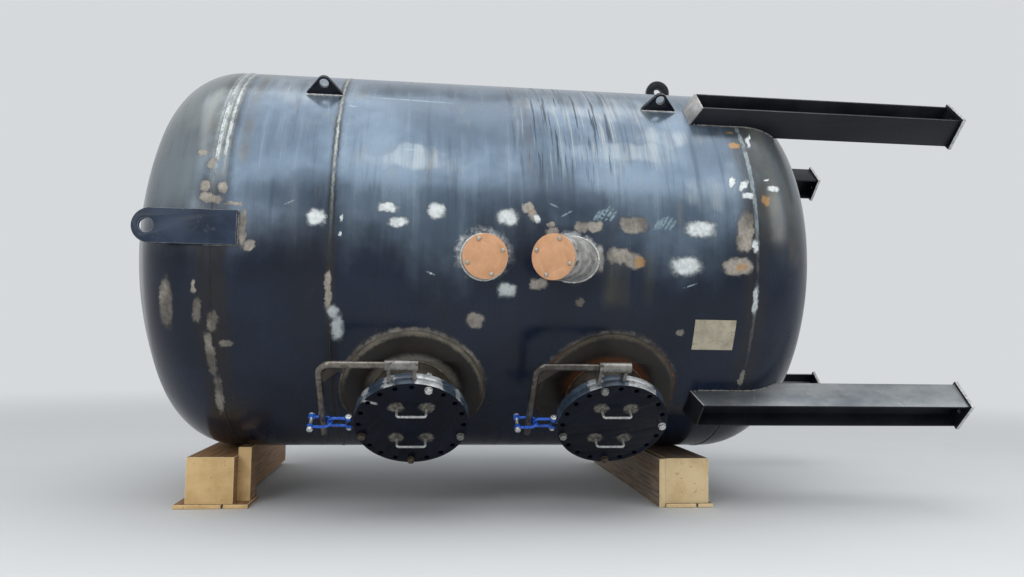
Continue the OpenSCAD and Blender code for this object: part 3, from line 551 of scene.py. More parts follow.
def pad_scale(name, number, rim, root):
    """Reinforcing pad: brown heat-tinted scale, with a ground rim and tinted metal by the neck."""
    material, tree, where = new_material(name)
    reach, turn = manway_frame(tree, where, number)
    cloud = patches(tree, where, 0.16, 4, 0.6)
    ragged = centred(tree, patches(tree, where, 0.03, 4, 0.7), 0.035)
    reach = add(tree, "ADD", reach, ragged)
    color = over(tree, "#14110f", "#231c17", (cloud, 0.35, 0.68))
    upper = band(tree, turn, 88, 60, 40)
    band_cover = times(tree, (reach, 0.418, 0.44), (cloud, 0.3, 0.6, 0.35, 0.9), upper)
    grind = patches(tree, where, 0.012, 3, 0.65)
    color = over(tree, color, over(tree, rim[0], rim[1], grind), band_cover)
    near_neck = times(tree, (reach, 0.325, 0.275), upper)
    color = over(tree, color, over(tree, root[0], root[1], grind), near_neck)
    surface(tree, color, add(tree, "ramp", cloud, 0.3, 0.7, 0.34, 0.46), times(tree, band_cover, 0.4),
            add(tree, "bump", grind, 0.0006), IOR=1.4)
    return material


# Bright arcs near the tops of the rims, partly worn metal and partly painted highlight, by manway: middle
# and half width of their angle, strength
WORN_AND_LIT_RIM_ARCS = {
    1: ((73, 13, 0.95), (113, 4, 0.9), (37, 2.5, 0.8), (143, 3, 0.8)),
    2: ((68, 14, 0.95), (116, 5, 0.7), (52, 1.5, 0.8)),
}


def flange_steel(name, number):
    """Primed rim of a flange and its cover: blue-grey, with bright arcs near the top, partly primer worn to
    metal and partly painted highlight.
    """
    material, tree, where = new_material(name)
    reach, turn = manway_frame(tree, where, number)
    cloud = patches(tree, where, 0.12, 4, 0.6)
    streak = patches(tree, where, 0.05, 3, 0.6)
    color = over(tree, "#293440", "#475463", (cloud, 0.35, 0.68))
    edge = centred(tree, patches(tree, where, 0.025, 4, 0.7), 22.0)
    turn = add(tree, "ADD", turn, edge)
    arcs = [times(tree, band(tree, turn, middle, half - 0.5, 3.5), strength)
            for middle, half, strength in WORN_AND_LIT_RIM_ARCS[number]]
    # Bright arcs near the top of the rim: partly worn metal, partly painted highlight
    worn = times(tree, most(tree, *arcs), (reach, 0.336, 0.342))
    bare = over(tree, "#96989a", "#c9cccd", (streak, 0.36, 0.62))
    color = over(tree, color, bare, worn)
    surface(tree, color, add(tree, "level", worn, 0.26, 0.36), times(tree, worn, 0.5),
            add(tree, "bump", streak, 0.0002), IOR=1.4)
    return material


def painted_light_top_face(name):
    """Upper face of a leg: rubbed scale drawn pale grey as painted light from above, small bright spatter
    near the tank.
    """
    material, tree, where = new_material(name)
    x = add(tree, "split", where)[0]
    cloud = patches(tree, where, 0.25, 4, 0.65, (0.5, 1, 1))
    color = over(tree, "#6f767b", "#95989a", (cloud, 0.34, 0.68))
    # Darker towards the tank
    color = over(tree, color, "#3c4146", (x, 3.75, 3.35, 0, 0.55))
    rust = add(tree, "ramp", patches(tree, where, 0.12, 4, 0.7), 0.56, 0.72)
    color = over(tree, color, "#6b6056", rust, 0.4)
    dots = add(tree, "ramp", patches(tree, where, 0.013, 2, 0.6), 0.66, 0.72)
    near = most(tree, band(tree, x, 3.42, 0.1, 0.12), band(tree, x, 4.55, 0.06, 0.2))
    color = over(tree, color, "#c4c6c6", dots, near)
    rough = add(tree, "ramp", cloud, 0.3, 0.7, 0.3, 0.44)
    surface(tree, color, rough, 0.45, add(tree, "bump", cloud, 0.0006))
    return material


def sawn_pine(name, pale, dark):
    """Sawn pine: straight grain along the board with darker knots, greyed by weather.
    The real grain lines are 2 to 5 mm apart and would not show, so they are drawn 12 mm apart."""
    material, tree, where = new_material(name)
    stretch = (1, 0.04, 1)
    grain = patches(tree, where, 0.012, 4, 0.6, stretch)
    wide = patches(tree, where, 0.09, 3, 0.5, stretch)
    blotch = patches(tree, where, 0.16, 3, 0.6)
    color = over(tree, pale, dark, (grain, 0.35, 0.68))
    color = over(tree, color, "#a87f4d", (wide, 0.45, 0.75), 0.45)
    color = over(tree, color, "#8d7451", (blotch, 0.55, 0.75), 0.35)
    knot = add(tree, "cells", where, 3.2)
    color = over(tree, color, "#6a4523", (knot, 0.05, 0.028))
    dirt = add(tree, "ramp", patches(tree, where, 0.02, 4, 0.7), 0.62, 0.78)
    color = over(tree, color, "#5c4d3a", dirt, 0.4)
    fuzz = add(tree, "bump", patches(tree, where, 0.005, 3, 0.6), 0.0004)
    surface(tree, color, 0.75, 0.0, add(tree, "bump", grain, 0.0008, fuzz))
    return material


def ringed_pine(name, pale, dark, heart):
    """End grain of a pine timber: rings round a heart, stains and a fuzzy sawn face.
    The real rings are 2 to 6 mm apart and would not show, so they are drawn 9 mm apart."""
    material, tree, where = new_material(name)
    away = add(tree, "vector SUBTRACT", where, heart)
    reach = add(tree, "measure LENGTH", add(tree, "vector MULTIPLY", away, (1, 0, 1)))
    bent = add(tree, "ADD", reach, add(tree, "MULTIPLY", patches(tree, where, 0.1, 2), 0.02))
    rings = add(tree, "FRACT", add(tree, "MULTIPLY", bent, 1 / 0.009))
    late = add(tree, "ramp", add(tree, "ABSOLUTE", add(tree, "SUBTRACT", rings, 0.75)), 0.2, 0.02)
    cloud = patches(tree, where, 0.12, 4, 0.6)
    fuzz = patches(tree, where, 0.006, 4, 0.7)
    color = over(tree, pale, dark, (cloud, 0.35, 0.68))
    color = over(tree, color, "#8a6a3c", late, 0.16)
    color = over(tree, color, "#8c7047", (fuzz, 0.52, 0.75), 0.3)
    stain = add(tree, "ramp", patches(tree, where, 0.05, 4, 0.7), 0.63, 0.74)
    color = over(tree, color, "#6e5638", stain, 0.55)
    dots = add(tree, "ramp", patches(tree, where, 0.022, 2, 0.5), 0.7, 0.74)
    color = over(tree, color, "#5a4226", dots, 0.6)
    normal = add(tree, "bump", fuzz, 0.0012, add(tree, "bump", late, 0.0003))
    surface(tree, color, 0.8, 0.0, normal)
    return material


FINISH = {
    # Blue-black scale below, a steel-blue painted sheen above, with ground marks
    "shell": mill_scale("mill_scale_plate"),
    # Dark and flat, a little cloudy
    "scale": plain_finish("small_plate_scale", "#0b0f17", "#151a23", 0.2, 0.32, spots="#262a31", IOR=1.3),
    # Dark blue, a soft sheen
    "side_plate": plain_finish("side_plate_scale", "#202a39", "#2e3b4e", 0.2, 0.34, spots="#3a4250",
                               IOR=1.3),
    # Nearly black, brown in places
    "section": plain_finish("rolled_section_scale", "#13151b", "#1e2027", 0.35, 0.4, spots="#25211f",
                            IOR=1.32),
    # Grey: rubbed scale, drawn lighter as painted light from above
    "leg_top": painted_light_top_face("lit_rubbed_section_top"),
    # Pale grey, matt, on the upper caps only, as painted light; the lower caps are dark as painted shade
    "cut_plate": plain_finish("lit_cut_plate", "#8b8b8c", "#b4b2b0", 0.1, 0.5, 0.35, spots="#968c7d"),
    # A thin lighter line along dark plates: rubbed steel, with a painted highlight
    "edge": plain_finish("rubbed_and_lit_steel_edge", "#5d6066", "#8a8d91", 0.05, 0.42, 0.4),
    # Almost white metal
    "bright": plain_finish("ground_bright_steel", "#a3a39f", "#d6d8d7", 0.03, 0.36, 0.55, spots="#a09a8c"),
    # Grey metal with brown freckles, glossy
    "sleeve": plain_finish("raw_sleeve_steel", "#6a6864", "#8f8d88", 0.06, 0.3, 0.7, spots="#4a443e",
                           spot_size=0.05),
    # Burnt grey, rough
    "weld": plain_finish("weld_bead", "#4f4d4a", "#8c8b87", 0.02, 0.42, 0.5, 0.0015, spots="#5a4c3c",
                         spot_size=0.05),
    # Rough, tan by heat
    "weld_1": plain_finish("heat_tinted_weld", "#3a3228", "#5e5444", 0.06, 0.4, 0.3, 0.0015,
                           spots="#6f6857", spot_size=0.09),
    # Rough, red-brown with rust
    "weld_2": plain_finish("rust_tinted_weld", "#2f1c12", "#553522", 0.06, 0.45, 0.2, 0.0015,
                           spots="#86603c", spot_size=0.06),
    # Brown-black rings with a paler ground rim, grey and rusty
    "pad_1": pad_scale("pad_scale_grey", 1, ("#5b564d", "#8d8678"), ("#4f4d48", "#88867e")),
    "pad_2": pad_scale("pad_scale_red", 2, ("#3c372f", "#675f51"), ("#3a2216", "#6a422a")),
    # Dark brown, a dull sheen
    "neck_pipe": plain_finish("heat_tinted_neck_pipe", "#201c19", "#4a443c", 0.12, 0.38, 0.3),
    # Silver with brown streaks round it
    "nozzle_pipe": plain_finish("silvery_nozzle_pipe", "#8b8985", "#c4c3bf", 0.07, 0.3, 0.35,
                                stretch=(0.4, 1, 1), spots="#4d4842", spot_size=0.06),
    # Satin blue-black with grey spots
    "primer_1": cover_primer("black_shop_primer_left", 1),
    "primer_2": cover_primer("black_shop_primer_right", 2),
    # Blue-grey rims with bright arcs, partly worn and partly painted highlight
    "flange_1": flange_steel("primed_flange_left", 1),
    "flange_2": flange_steel("primed_flange_right", 2),
    # From sparkling silver to brown, as the plating wears
    "zinc": plain_finish("bright_zinc_plating", "#b4b6b4", "#d6d8d7", 0.03, 0.26, 0.7),
    "dull_zinc": plain_finish("dull_zinc_plating", "#6f726c", "#92948c", 0.03, 0.36, 0.6),
    "tan_zinc": plain_finish("weathered_zinc_plating", "#99948a", "#b8b2a6", 0.02, 0.34, 0.4),
    "rusty_zinc": plain_finish("stained_zinc_plating", "#3a3128", "#5e5346", 0.02, 0.45, 0.4),
    # Pale grey, a soft shine
    "handle": plain_finish("galvanised_bar", "#8f9290", "#c2c4c2", 0.015, 0.36, 0.6),
    # Glossy brown-grey metal, the right one darker
    "pipe_1": plain_finish("raw_pipe", "#57514a", "#807b74", 0.09, 0.22, 0.9, spots="#55483c",
                           spot_size=0.09),
    "pipe_2": plain_finish("dark_raw_pipe", "#46423e", "#6d6a66", 0.09, 0.24, 0.85, spots="#4a4037",
                           spot_size=0.09),
    # Flat dark brown
    "gusset": plain_finish("brown_gusset_plate", "#241d18", "#3d332b", 0.1, 0.4, 0.3),
    # Strong blue, glossy
    "blue": plain_finish("blue_powder_coat", "#17459f", "#2765cd", 0.02, 0.22, 0.0, 0.00015),
    # Warm peach, matt and nearly even
    "board": plain_finish("peach_hardboard", "#c39068", "#cf9d76", 0.08, 0.6, depth=0.00005,
                          spots="#bf895f", spot_size=0.012),
    # Dark red, matt
    "rubber": plain_finish("red_rubber", "#5c1714", "#7b211c", 0.03, 0.7),
    # Dull straw-grey
    "tag": plain_finish("dull_bare_plate", "#968e7b", "#b1a994", 0.09, 0.5, 0.1, spots="#77705f"),
    # Tan and grey grain, cream ends, and cream edges that are partly wear and partly painted highlight
    "pine": sawn_pine("weathered_sawn_pine", "#a98158", "#7c5c3e"),
    "pale_pine": sawn_pine("weathered_pale_pine", "#948270", "#66584a"),
    "pine_end": ringed_pine("pine_end_grain", "#e2c08a", "#d0ad76", (0.06, 0, 0.22)),
    "pale_end": ringed_pine("pale_pine_end_grain", "#e8cfa2", "#dabd8e", (3.2, 0, 0.1)),
    "pine_edge": plain_finish("worn_and_lit_pine_edge", "#dcc190", "#ecd8ae", 0.03, 0.7),
    # Olive-brown, matt
    "wedge": plain_finish("dark_olive_pine", "#4d432f", "#6b5d42", 0.05, 0.75, stretch=(1, 0.1, 1)),
}


# Modelling helpers
def choose(*pieces):
    """Selects these pieces alone, with the last one active."""
    if bpy.context.mode != "OBJECT":
        bpy.ops.object.mode_set(mode="OBJECT")
    bpy.ops.object.select_all(action="DESELECT")
    for piece in pieces:
        piece.select_set(True)
        bpy.context.view_layer.objects.active = piece


def open_mesh(piece, selection="SELECT"):
    """Goes into a piece's mesh, with all of it selected or none."""
    choose(piece)
    bpy.ops.object.mode_set(mode="EDIT")
    bpy.ops.mesh.select_all(action=selection)


def close_mesh():
    bpy.ops.object.mode_set(mode="OBJECT")


def settle(piece, place=None):
    """Puts a piece's place into its mesh, so that its object stays at the origin."""
    if place is not None:
        piece.matrix_world = place @ piece.matrix_world
    choose(piece)
    bpy.ops.object.transform_apply(location=True, rotation=True, scale=True)


def apply_all(piece):
    choose(piece)
    for modifier in list(piece.modifiers):
        bpy.ops.object.modifier_apply(modifier=modifier.name)


def ease_edges(piece, width, segments, limit=30, slot=-1):
    """Bevels the edges that are sharper than a limit, with a finish of their own if a slot is given."""
    ease = piece.modifiers.new("ease", "BEVEL")
    ease.width = width
    ease.segments = segments
    ease.limit_method = "ANGLE"
    ease.angle_limit = math.radians(limit)
    ease.material = slot
    apply_all(piece)


def smooth(piece, angle):
    choose(piece)
    bpy.ops.object.shade_smooth_by_angle(angle=math.radians(angle))


def make_slots(piece, count):
    if len(piece.data.materials) != count:
        piece.data.materials.clear()
        for _ in range(count):
            piece.data.materials.append(None)


def finish_piece(piece, name, body, finishes, nodes=()):
    """Names a piece, gives it its finishes, attaches it to its body and hides the nodes that it stands for.
    """
    piece.name = name
    make_slots(piece, len(finishes))
    for index, key in enumerate(finishes):
        piece.data.materials[index] = FINISH[key]
    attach(piece, body)
    if nodes:
        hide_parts(*nodes)
    return piece


def body_of_node(node):
    """The CAD body that a node belongs to."""
    bodies = frame["record"]["behaviour"]["bodies"]
    return next((body for body, nodes in bodies.items() if node in nodes), "tank")


def merged_copy(node):
    """A joined copy of a CAD node's triangles, with its flat faces made whole."""
    source = frame["nodes"][node]
    piece = source.copy()
    piece.data = source.data.copy()
    piece.parent = None
    piece.matrix_world = source.matrix_world
    bpy.context.collection.objects.link(piece)
    piece.hide_render = False
    open_mesh(piece)
    bpy.ops.mesh.remove_doubles(threshold=2e-5)
    bpy.ops.mesh.dissolve_limited(angle_limit=math.radians(0.3))
    close_mesh()
    bpy.ops.mesh.customdata_custom_splitnormals_clear()
    return piece


def eased(node, width, segments, finish, edge=None, other=None):
    """A node with its sharp edges eased by a width in mm, as plate and timber are, so that they catch
    the light. The eased edges can have a finish of their own, and so can faces that are chosen later."""
    piece = merged_copy(node)
    finishes = [key for key in (finish, edge, other) if key]
    make_slots(piece, len(finishes))
    ease_edges(piece, width * MM, segments, 40, 1 if edge else -1)
    smooth(piece, 30)
    return finish_piece(piece, node + "_eased", body_of_node(node), finishes, (node,))


def refinish(piece, slot, wanted):
    """Puts the wanted faces of a piece in another of its slots."""
    for face in piece.data.polygons:
        if wanted(face):
            face.material_index = slot


# Plates of the shell and heads
def head_outline():
    """Half outline of a head, from its seam to its middle, as (distance past the seam, radius)."""
    knuckle_c = SHELL_R - KNUCKLE_R
    drop = math.sqrt((CROWN_R - KNUCKLE_R) ** 2 - knuckle_c ** 2)
    tilt = math.atan2(knuckle_c, drop)
    points = [(SEAT / 2, SHELL_R), (HEAD_FLANGE, SHELL_R)]
    for i in range(1, 19):
        turn = (math.pi / 2 - tilt) * i / 18
        points.append((HEAD_FLANGE + KNUCKLE_R * math.sin(turn), knuckle_c + KNUCKLE_R * math.cos(turn)))
    for i in range(1, 25):
        turn = tilt * (1 - i / 24)
        points.append((HEAD_FLANGE + CROWN_R * math.cos(turn) - drop, CROWN_R * math.sin(turn)))
    return points


def drawn_line(points):
    """A line drawn from its first point by extruding it on to each next one."""
    choose()
    bpy.ops.mesh.primitive_plane_add(size=0.01, location=points[0])
    piece = bpy.context.object
    settle(piece)
    open_mesh(piece)
    bpy.ops.mesh.merge(type="CENTER")
    for first, second in zip(points, points[1:]):
        step = Vector(second) - Vector(first)
        bpy.ops.mesh.extrude_region_move(TRANSFORM_OT_translate={"value": step})
    close_mesh()
    return piece


def spun_plate(points, node, holes=()):
    """A rolled or dished plate: its outline spun round the tank's axis, given its wall, and holed."""
    piece = drawn_line([(x, 0, AXIS_Z + radius) for x, radius in points])
    open_mesh(piece)
    bpy.ops.mesh.spin(steps=240, angle=2 * math.pi, center=(0, 0, AXIS_Z), axis=(1, 0, 0))
    bpy.ops.mesh.select_all(action="SELECT")
    bpy.ops.mesh.remove_doubles(threshold=1e-5)
    bpy.ops.mesh.normals_make_consistent(inside=False)
    close_mesh()
    turn_outward(piece)
    wall = piece.modifiers.new("wall", "SOLIDIFY")
    wall.thickness = WALL
    wall.offset = -1
    apply_all(piece)
    for place, radius in holes:
        choose()
        bpy.ops.mesh.primitive_cylinder_add(vertices=96, radius=radius, depth=SHELL_R * 0.5)
        drill = bpy.context.object
        settle(drill, place)
        hole = piece.modifiers.new("hole", "BOOLEAN")
        hole.object = drill
        hole.solver = "EXACT"
        apply_all(piece)
        bpy.data.objects.remove(drill, do_unlink=True)
    smooth(piece, 40)
    return finish_piece(piece, node + "_plate", "tank", ("shell",), (node,))


def make_head(side, seam_x, node):
    return spun_plate([(seam_x + side * along, radius) for along, radius in head_outline()], node)


def make_course(node, x0, x1, parts, holes=()):
    return spun_plate([(x0 + (x1 - x0) * i / parts, SHELL_R) for i in range(parts + 1)], node, holes)


def turn_outward(piece):
    """Turns the faces of an open form outwards, away from the tank's axis."""
    total = 0.0
    for face in piece.data.polygons:
        away = face.center - Vector((face.center.x, 0, AXIS_Z))
        total += face.area * face.normal.dot(away)
    if total < 0:
        open_mesh(piece)
        bpy.ops.mesh.flip_normals()
        close_mesh()


def make_shell():
    make_head(-1, LEFT_X, "left_head")
    make_head(1, RIGHT_X, "right_head")
    make_course("shell_course_1", LEFT_X + SEAT / 2, COURSE_X - SEAT / 2, 13)
    holes = [(at_manway(n) @ Matrix.Translation((0, 0, SHELL_R)), MANWAY_OD / 2 + SEAT) for n in (1, 2)]
    holes += [(at_nozzle(n), NOZZLE_OD / 2 + SEAT) for n in (1, 2)]
    make_course("shell_course_2", COURSE_X + SEAT / 2, RIGHT_X - SEAT / 2, 51, holes)


# Weld beads
def bead(name, place, points, radius, finish="weld", closed=False):
    """A weld bead along a line of points: a rod whose thickness swells with every few points."""
    line = drawn_line([place @ Vector(point) for point in points])
    if closed:
        open_mesh(line, "DESELECT")
        close_mesh()
        for index in (0, -1):
            line.data.vertices[index].select = True
        bpy.ops.object.mode_set(mode="EDIT")
        bpy.ops.mesh.edge_face_add()
        close_mesh()
    return rod_from_line(line, name, radius, finish, 0.16)


def rod_from_line(line, name, radius, finish, lump):
    choose(line)
    bpy.ops.object.convert(target="CURVE")
    line.data.bevel_depth = radius
    line.data.bevel_resolution = 2
    line.data.use_fill_caps = True
    for spline in line.data.splines:
        for index, point in enumerate(spline.points):
            point.radius = 1 + lump * math.sin(index * 2.4) + lump * 0.6 * math.sin(index * 5.1 + 1)
    bpy.ops.object.convert(target="MESH")
    smooth(line, 60)
    return finish_piece(line, name, "tank", (finish,))


def ring_bead(name, place, radius, thick, count, finish, plate=None):
    """A bead round a circle, laid down on a curved plate if one is given."""
    choose()
    bpy.ops.mesh.primitive_circle_add(vertices=count, radius=radius)
    circle = bpy.context.object
    settle(circle, place)
    if plate is not None:
        lay = circle.modifiers.new("lay", "SHRINKWRAP")
        lay.wrap_method = "NEAREST_SURFACEPOINT"
        lay.target = plate
        apply_all(circle)
    return rod_from_line(circle, name, thick, finish, 0.14)


def seam_bead(name, x, thick):
    place = Matrix.Translation((x, 0, AXIS_Z)) @ Matrix.Rotation(math.pi / 2, 4, "Y")
    ring_bead(name, place, SHELL_R - thick * 0.3, thick, 360, "shell")


def evenly(start, end, steps):
    return [start + (end - start) * i / steps for i in range(steps + 1)]


def round_points(radius, count):
    turns = [2 * math.pi * i / count for i in range(count)]
    return [(radius * math.cos(turn), radius * math.sin(turn)) for turn in turns]


def plate_height(y, radius=SHELL_R):
    """How far out a round plate lies, at a distance y from the middle line of a place on it."""
    return math.sqrt(radius ** 2 - y ** 2)


def head_radius(along):
    """Outer radius of the right head at a distance past its seam."""
    if along <= HEAD_FLANGE:
        return SHELL_R
    return SHELL_R - KNUCKLE_R + math.sqrt(max(KNUCKLE_R ** 2 - (along - HEAD_FLANGE) ** 2, 0))


def foot_beads(name, place, start, end, away, height, steps, radius, finish="weld"):
    """Two beads along the foot of a plate that stands on the tank, one on each side of it."""
    for letter, y in (("a", -away), ("b", away)):
        line = [(x, y, height) for x in evenly(start, end, steps)]
        bead(f"{name}_{letter}", place, line, radius, finish)


def make_leg_welds():
    """Beads where the legs' flanges meet the shell and the head, and along the cap plates."""
    for number, angle in enumerate(LEG_ANGLES, 1):
        place = at_angle(angle)
        for letter, side in (("a", -1), ("b", 1)):
            y = side * (LEG_HALF + 2 * MM)
            line = []
            for i in range(64):
                x = LEG_START_X + 42 * MM + i * 11 * MM
                z = plate_height(y, head_radius(x - RIGHT_X))
                if z > LEG_RADIUS - LEG_HALF:
                    line.append((x, y, z + 1 * MM))
            bead(f"leg_weld_{number}_{letter}", place, line, 6 * MM)
        x = LEG_START_X + 25 * MM
        line = [(x, y, plate_height(y) + 1 * MM) for y in evenly(-LEG_HALF, LEG_HALF, 16)]
        bead(f"cap_weld_{number}", place, line, 6 * MM, "bright")


def make_lug_welds():
    """Beads along the feet of the ears, the tail lug and the side plates."""
    height = SHELL_R + 2 * MM
    for row, angle in enumerate(EAR_ANGLES, 1):
        for end, x in enumerate(EAR_X, 1):
            foot_beads(f"ear_weld_{row}_{end}", at_angle(angle, x), -EAR_W / 2, EAR_W / 2,
                       EAR_T / 2 + 2 * MM, height, 24, 7 * MM, "bright")
    foot_beads("tail_weld", at_angle(90, TAIL_X), -TAIL_W / 2, TAIL_W / 2,
               TAIL_T / 2 + 2 * MM, height, 20, 7 * MM)
    for row, angle in enumerate(SIDE_ANGLES, 1):
        place = at_angle(angle, LEFT_X)
        away = SIDE_H / 2 + 1 * MM
        height = plate_height(away) + 2 * MM
        foot_beads(f"side_weld_{row}", place, -40 * MM, SIDE_LAP, away, height, 20, 5 * MM)
        across = evenly(-SIDE_H / 2, SIDE_H / 2, 20)
        line = [(SIDE_LAP + 2 * MM, y, plate_height(y) + 2 * MM) for y in across]
        bead(f"side_weld_{row}_end", place, line, 7 * MM)


def make_opening_welds(course):
    """Beads round the pads, the manway necks and the nozzles."""
    neck_r = MANWAY_OD / 2 + 3 * MM
    for number in MANWAY_X:
        place = at_manway(number)
        foot = place @ Matrix.Translation((0, 0, SHELL_R))
        ring_bead(f"pad_weld_{number}", foot, PAD_D / 2 + 4 * MM, 9 * MM, 220, f"weld_{number}", course)
        line = [(x, y, plate_height(y, SHELL_R + PAD_T) + 2 * MM) for x, y in round_points(neck_r, 120)]
        bead(f"neck_weld_{number}", place, line, 9 * MM, f"weld_{number}", closed=True)
        back = place @ Matrix.Translation((0, 0, FLANGE_FACE - FLANGE_T - 1 * MM))
        ring_bead(f"flange_weld_{number}", back, neck_r, 6 * MM, 140, "weld")
    for number, slant in NOZZLE_SLANT.items():
        slant = math.radians(slant)
        line = []
        for x, y in round_points(NOZZLE_OD / 2 + 3 * MM, 96):
            sag = SHELL_R - plate_height(y)
            line.append((x, y, -(x * math.sin(slant) + sag) / math.cos(slant)))
        place = Matrix.Translation((0, -2 * MM, 0)) @ at_nozzle(number)
        bead(f"nozzle_weld_{number}", place, line, 8 * MM, "bright", closed=True)


# Bolts
def hex_head(height):
    """A hexagon head or nut on a washer, its top chamfered and dished as forged heads are."""
    choose()
    bpy.ops.mesh.primitive_cylinder_add(vertices=6, radius=BOLT_W / math.sqrt(3), depth=height,
                                        location=(0, 0, WASHER_T + height / 2))
    head = bpy.context.object
    settle(head)
    open_mesh(head, "DESELECT")
    close_mesh()
    for face in head.data.polygons:
        face.select = face.normal.z > 0.9
    bpy.ops.object.mode_set(mode="EDIT")
    bpy.ops.mesh.inset(thickness=BOLT_W * 0.07, depth=height * 0.14)
    bpy.ops.mesh.inset(thickness=BOLT_W * 0.14, depth=height * 0.04)
    close_mesh()
    bpy.ops.mesh.primitive_cylinder_add(vertices=28, radius=WASHER_D / 2, depth=WASHER_T,
                                        location=(0, 0, WASHER_T / 2))
    washer = bpy.context.object
    settle(washer)
    choose(washer, head)
    bpy.ops.object.join()
    ease_edges(head, BOLT_W * 0.03, 2)
    smooth(head, 35)
    return head


def dome_head(diameter, height):
    """A low round head: the top half of a ball, flattened."""
    choose()
    bpy.ops.mesh.primitive_uv_sphere_add(segments=28, ring_count=16, radius=diameter / 2)
    head = bpy.context.object
    open_mesh(head)
    bpy.ops.mesh.bisect(plane_co=(0, 0, 0), plane_no=(0, 0, 1), clear_inner=True, use_fill=True)
    close_mesh()
    head.scale = (1, 1, height / (diameter / 2))
    settle(head)
    smooth(head, 50)
    return head


def copies(model, places, name, body, finish):
    """One piece of a modelled form at each place, joined."""
    made = []
    for place in places:
        one = model.copy()
        one.data = model.data.copy()
        bpy.context.collection.objects.link(one)
        one.matrix_world = place
        made.append(one)
    choose(*made[1:], made[0])
    if len(made) > 1:
        bpy.ops.object.join()
    settle(made[0])
    return finish_piece(made[0], name, body, (finish,))


# Cover bolts, by manway: angle and finish
BOLTS = {
    1: ((72, "zinc"), (-18, "dull_zinc"), (198, "rusty_zinc"), (270, "rusty_zinc")),
    2: ((108, "dull_zinc"), (0, "zinc"), (198, "dull_zinc"), (270, "rusty_zinc")),
}


def make_bolts():
    bolt = hex_head(BOLT_HEAD_T)
    nut = hex_head(NUT_T)
    dome = dome_head(28 * MM, 11 * MM)
    for number, bolts in BOLTS.items():
        for k, (turn, finish) in enumerate(bolts):
            place = at_manway(number) @ Matrix.Rotation(math.radians(turn), 4, "Z")
            place = place @ Matrix.Translation((BOLT_CIRCLE / 2, 0, 0))
            front = place @ Matrix.Translation((0, 0, COVER_BACK + COVER_T + SEAT))
            copies(bolt, [front], f"manway_{number}_bolt_{k}", f"davit_{number}", finish)
            back = place @ Matrix.Translation((0, 0, FLANGE_FACE - FLANGE_T - SEAT))
            back = back @ Matrix.Rotation(math.pi, 4, "X")
            copies(nut, [back], f"manway_{number}_nut_{k}", "tank", finish)
    for number, length in NOZZLE_LEN.items():
        offset = Matrix.Translation((NOZZLE_BOLT_CIRCLE / 2, 0, length + SEAT + NOZZLE_COVER_T + SEAT))
        turns = [math.radians(NOZZLE_TURN[number] + 90 * k) for k in range(4)]
        heads = [at_nozzle(number) @ Matrix.Rotation(turn, 4, "Z") @ offset for turn in turns]
        copies(dome, heads, f"nozzle_{number}_bolts", "tank", "tan_zinc")
    for model in (bolt, nut, dome):
        bpy.data.objects.remove(model, do_unlink=True)


# Pieces that keep their CAD form, with eased edges
def make_legs():
    """Legs with lighter edges and a pale upper face, partly rubbed and partly painted light, their cut cap
    plates and the feet.
    """
    for node in ("leg_near_top", "leg_near_bottom", "leg_far_top", "leg_far_bottom"):
        leg = eased(node, 2, 2, "section", "edge", "leg_top")
        if "bottom" in node:
            middle = sum(corner[2] for corner in leg.bound_box) / 8
            # The upward faces of the lower legs get the pale finish, as painted light from above
            refinish(leg, 2, lambda face: face.normal.z > 0.3 and face.area > 0.01
                     and face.center.z > middle)
    caps = eased("leg_caps", 1.5, 2, "cut_plate", other="section")
    # Caps below the axis get the dark section finish, as painted shade; the upper ones keep the pale cut
    # plate, as painted light
    refinish(caps, 1, lambda face: face.center.z < AXIS_Z and (face.area > 0.01 or face.normal.z < 0.3))
    feet = eased("base_plates", 2.5, 2, "section", "bright")
    # The feet's thin sides and eased edges get ground bright steel, partly as a painted highlight along
    # their lit edges
    refinish(feet, 1, lambda face: abs(face.normal.x) < 0.5 and face.area > 0.001)


def make_lugs():
    for node in ("ears_near", "ears_far", "tail_lug"):
        eased(node, 2, 2, "scale", "edge")
    for node in ("side_plate_near", "side_plate_far"):
        eased(node, 2, 2, "side_plate", "edge")
    eased("name_plate", 0.8, 1, "tag")


def make_openings():
    """Nozzles, manways and davits, two of each."""
    for number in (1, 2):
        eased(f"nozzle_{number}_neck", 1.5, 2, "nozzle_pipe")
        eased(f"nozzle_{number}_cover", 1, 2, "board")
        eased(f"manway_{number}_pad", 2, 2, f"pad_{number}")
        eased(f"manway_{number}_neck", 1, 1, "neck_pipe")
        eased(f"manway_{number}_flange", 2, 2, f"flange_{number}")
        eased(f"manway_{number}_gasket", 0.4, 1, "rubber")
        cover = eased(f"manway_{number}_cover", 2, 2, f"primer_{number}", other=f"flange_{number}")
        finish_rim(cover, at_manway(number))
        eased(f"manway_{number}_handles", 0.5, 1, "handle")
        eased(f"davit_{number}_bracket", 1, 1, "sleeve")
        arm = eased(f"davit_{number}_arm", 1, 2, f"pipe_{number}", other="gusset")
        refinish(arm, 1, lambda face: face.area > 0.004)
        eased(f"davit_{number}_shackles", 0.4, 1, "blue")
        eased(f"davit_{number}_pins", 0.8, 2, "zinc")


def finish_rim(cover, place):
    """Gives the cover's rim the finish of the flange behind it."""
    axis = place.to_3x3().col[2]
    for face in cover.data.polygons:
        away = face.center - place.translation
        away -= axis * away.dot(axis)
        if abs(face.normal.dot(axis)) < 0.8 and away.length > FLANGE_D / 2 - 4 * MM:
            face.material_index = 1


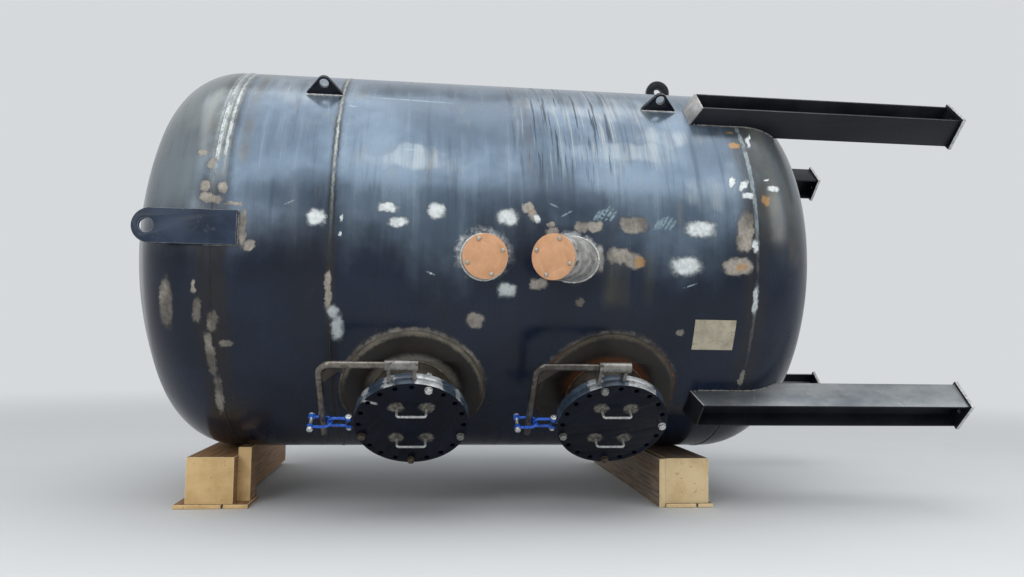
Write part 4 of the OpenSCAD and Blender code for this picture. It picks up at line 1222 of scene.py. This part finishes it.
def make_timbers():
    """Timbers and boards: long grain on the sides, rings on the sawn ends, pale edges that are partly wear
    and partly painted highlight.
    """
    for node, width, side, end in (
            ("left_timber", 4, "pine", "pine_end"), ("right_timber", 4, "pale_pine", "pale_end"),
            ("left_boards", 2.5, "pine", "pine_end"), ("right_boards", 2.5, "pale_pine", "pale_end"),
            ("chocks", 2.5, "wedge", "wedge")):
        piece = eased(node, width, 2, side, "pine_edge", end)
        refinish(piece, 2, lambda face: abs(face.normal.y) > 0.98 and face.material_index == 0)


# Studio
def add_floor():
    """A pale floor that fades into the pale backdrop far from the tank."""
    choose()
    bpy.ops.mesh.primitive_plane_add(size=120, location=(2, 0, -0.002))
    floor = bpy.context.object
    floor.name = "studio_floor"
    settle(floor)
    material, tree, where = new_material("pale_floor")
    color = add(tree, "mix", patches(tree, where, 0.8, 2), "#d4d6d8", "#d9dbdc")
    near = add(tree, "shader", color, 0.9, Specular_IOR_Level=0.2)
    far = add(tree, "glow", BACKDROP, BACKDROP_STRENGTH)
    away = add(tree, "measure DISTANCE", where, (2, 0, 0))
    add(tree, "surface", add(tree, "either", add(tree, "ramp", away, 4.5, 15), near, far))
    floor.data.materials.append(material)


def set_light():
    """A soft studio: pale backdrop, one wide overhead softbox and two weak fills."""
    add_floor()
    world = bpy.data.worlds.new("studio")
    bpy.context.scene.world = world
    world.use_nodes = True
    tree = world.node_tree
    tree.nodes.clear()
    ray = add(tree, "ray")
    direct = add(tree, "MAXIMUM", ray["Is Camera Ray"], ray["Is Transmission Ray"])
    direct = add(tree, "MAXIMUM", direct, ray["Is Glossy Ray"])
    strength = add(tree, "level", direct, 0.78, BACKDROP_STRENGTH)
    add(tree, "studio", add(tree, "sky", BACKDROP, strength))
    for softbox in SOFTBOXES:
        add_softbox(*softbox)


def add_softbox(name, place, aim, size, power):
    data = bpy.data.lights.new(name, "AREA")
    data.shape = "RECTANGLE"
    data.size, data.size_y = size
    data.energy = power
    light = bpy.data.objects.new(name, data)
    light.location = place
    light.rotation_euler = (Vector(aim) - Vector(place)).to_track_quat("-Z", "Y").to_euler()
    bpy.context.collection.objects.link(light)


add_camera()
make_shell()
make_legs()
make_lugs()
make_openings()
make_timbers()
seam_bead("left_seam_bead", LEFT_X, 6 * MM)
seam_bead("course_seam_bead", COURSE_X, 5 * MM)
seam_bead("right_seam_bead", RIGHT_X, 6 * MM)
make_leg_welds()
make_lug_welds()
make_opening_welds(bpy.data.objects["shell_course_2_plate"])
make_bolts()
set_light()

scene = bpy.context.scene
scene.view_settings.view_transform = "Standard"
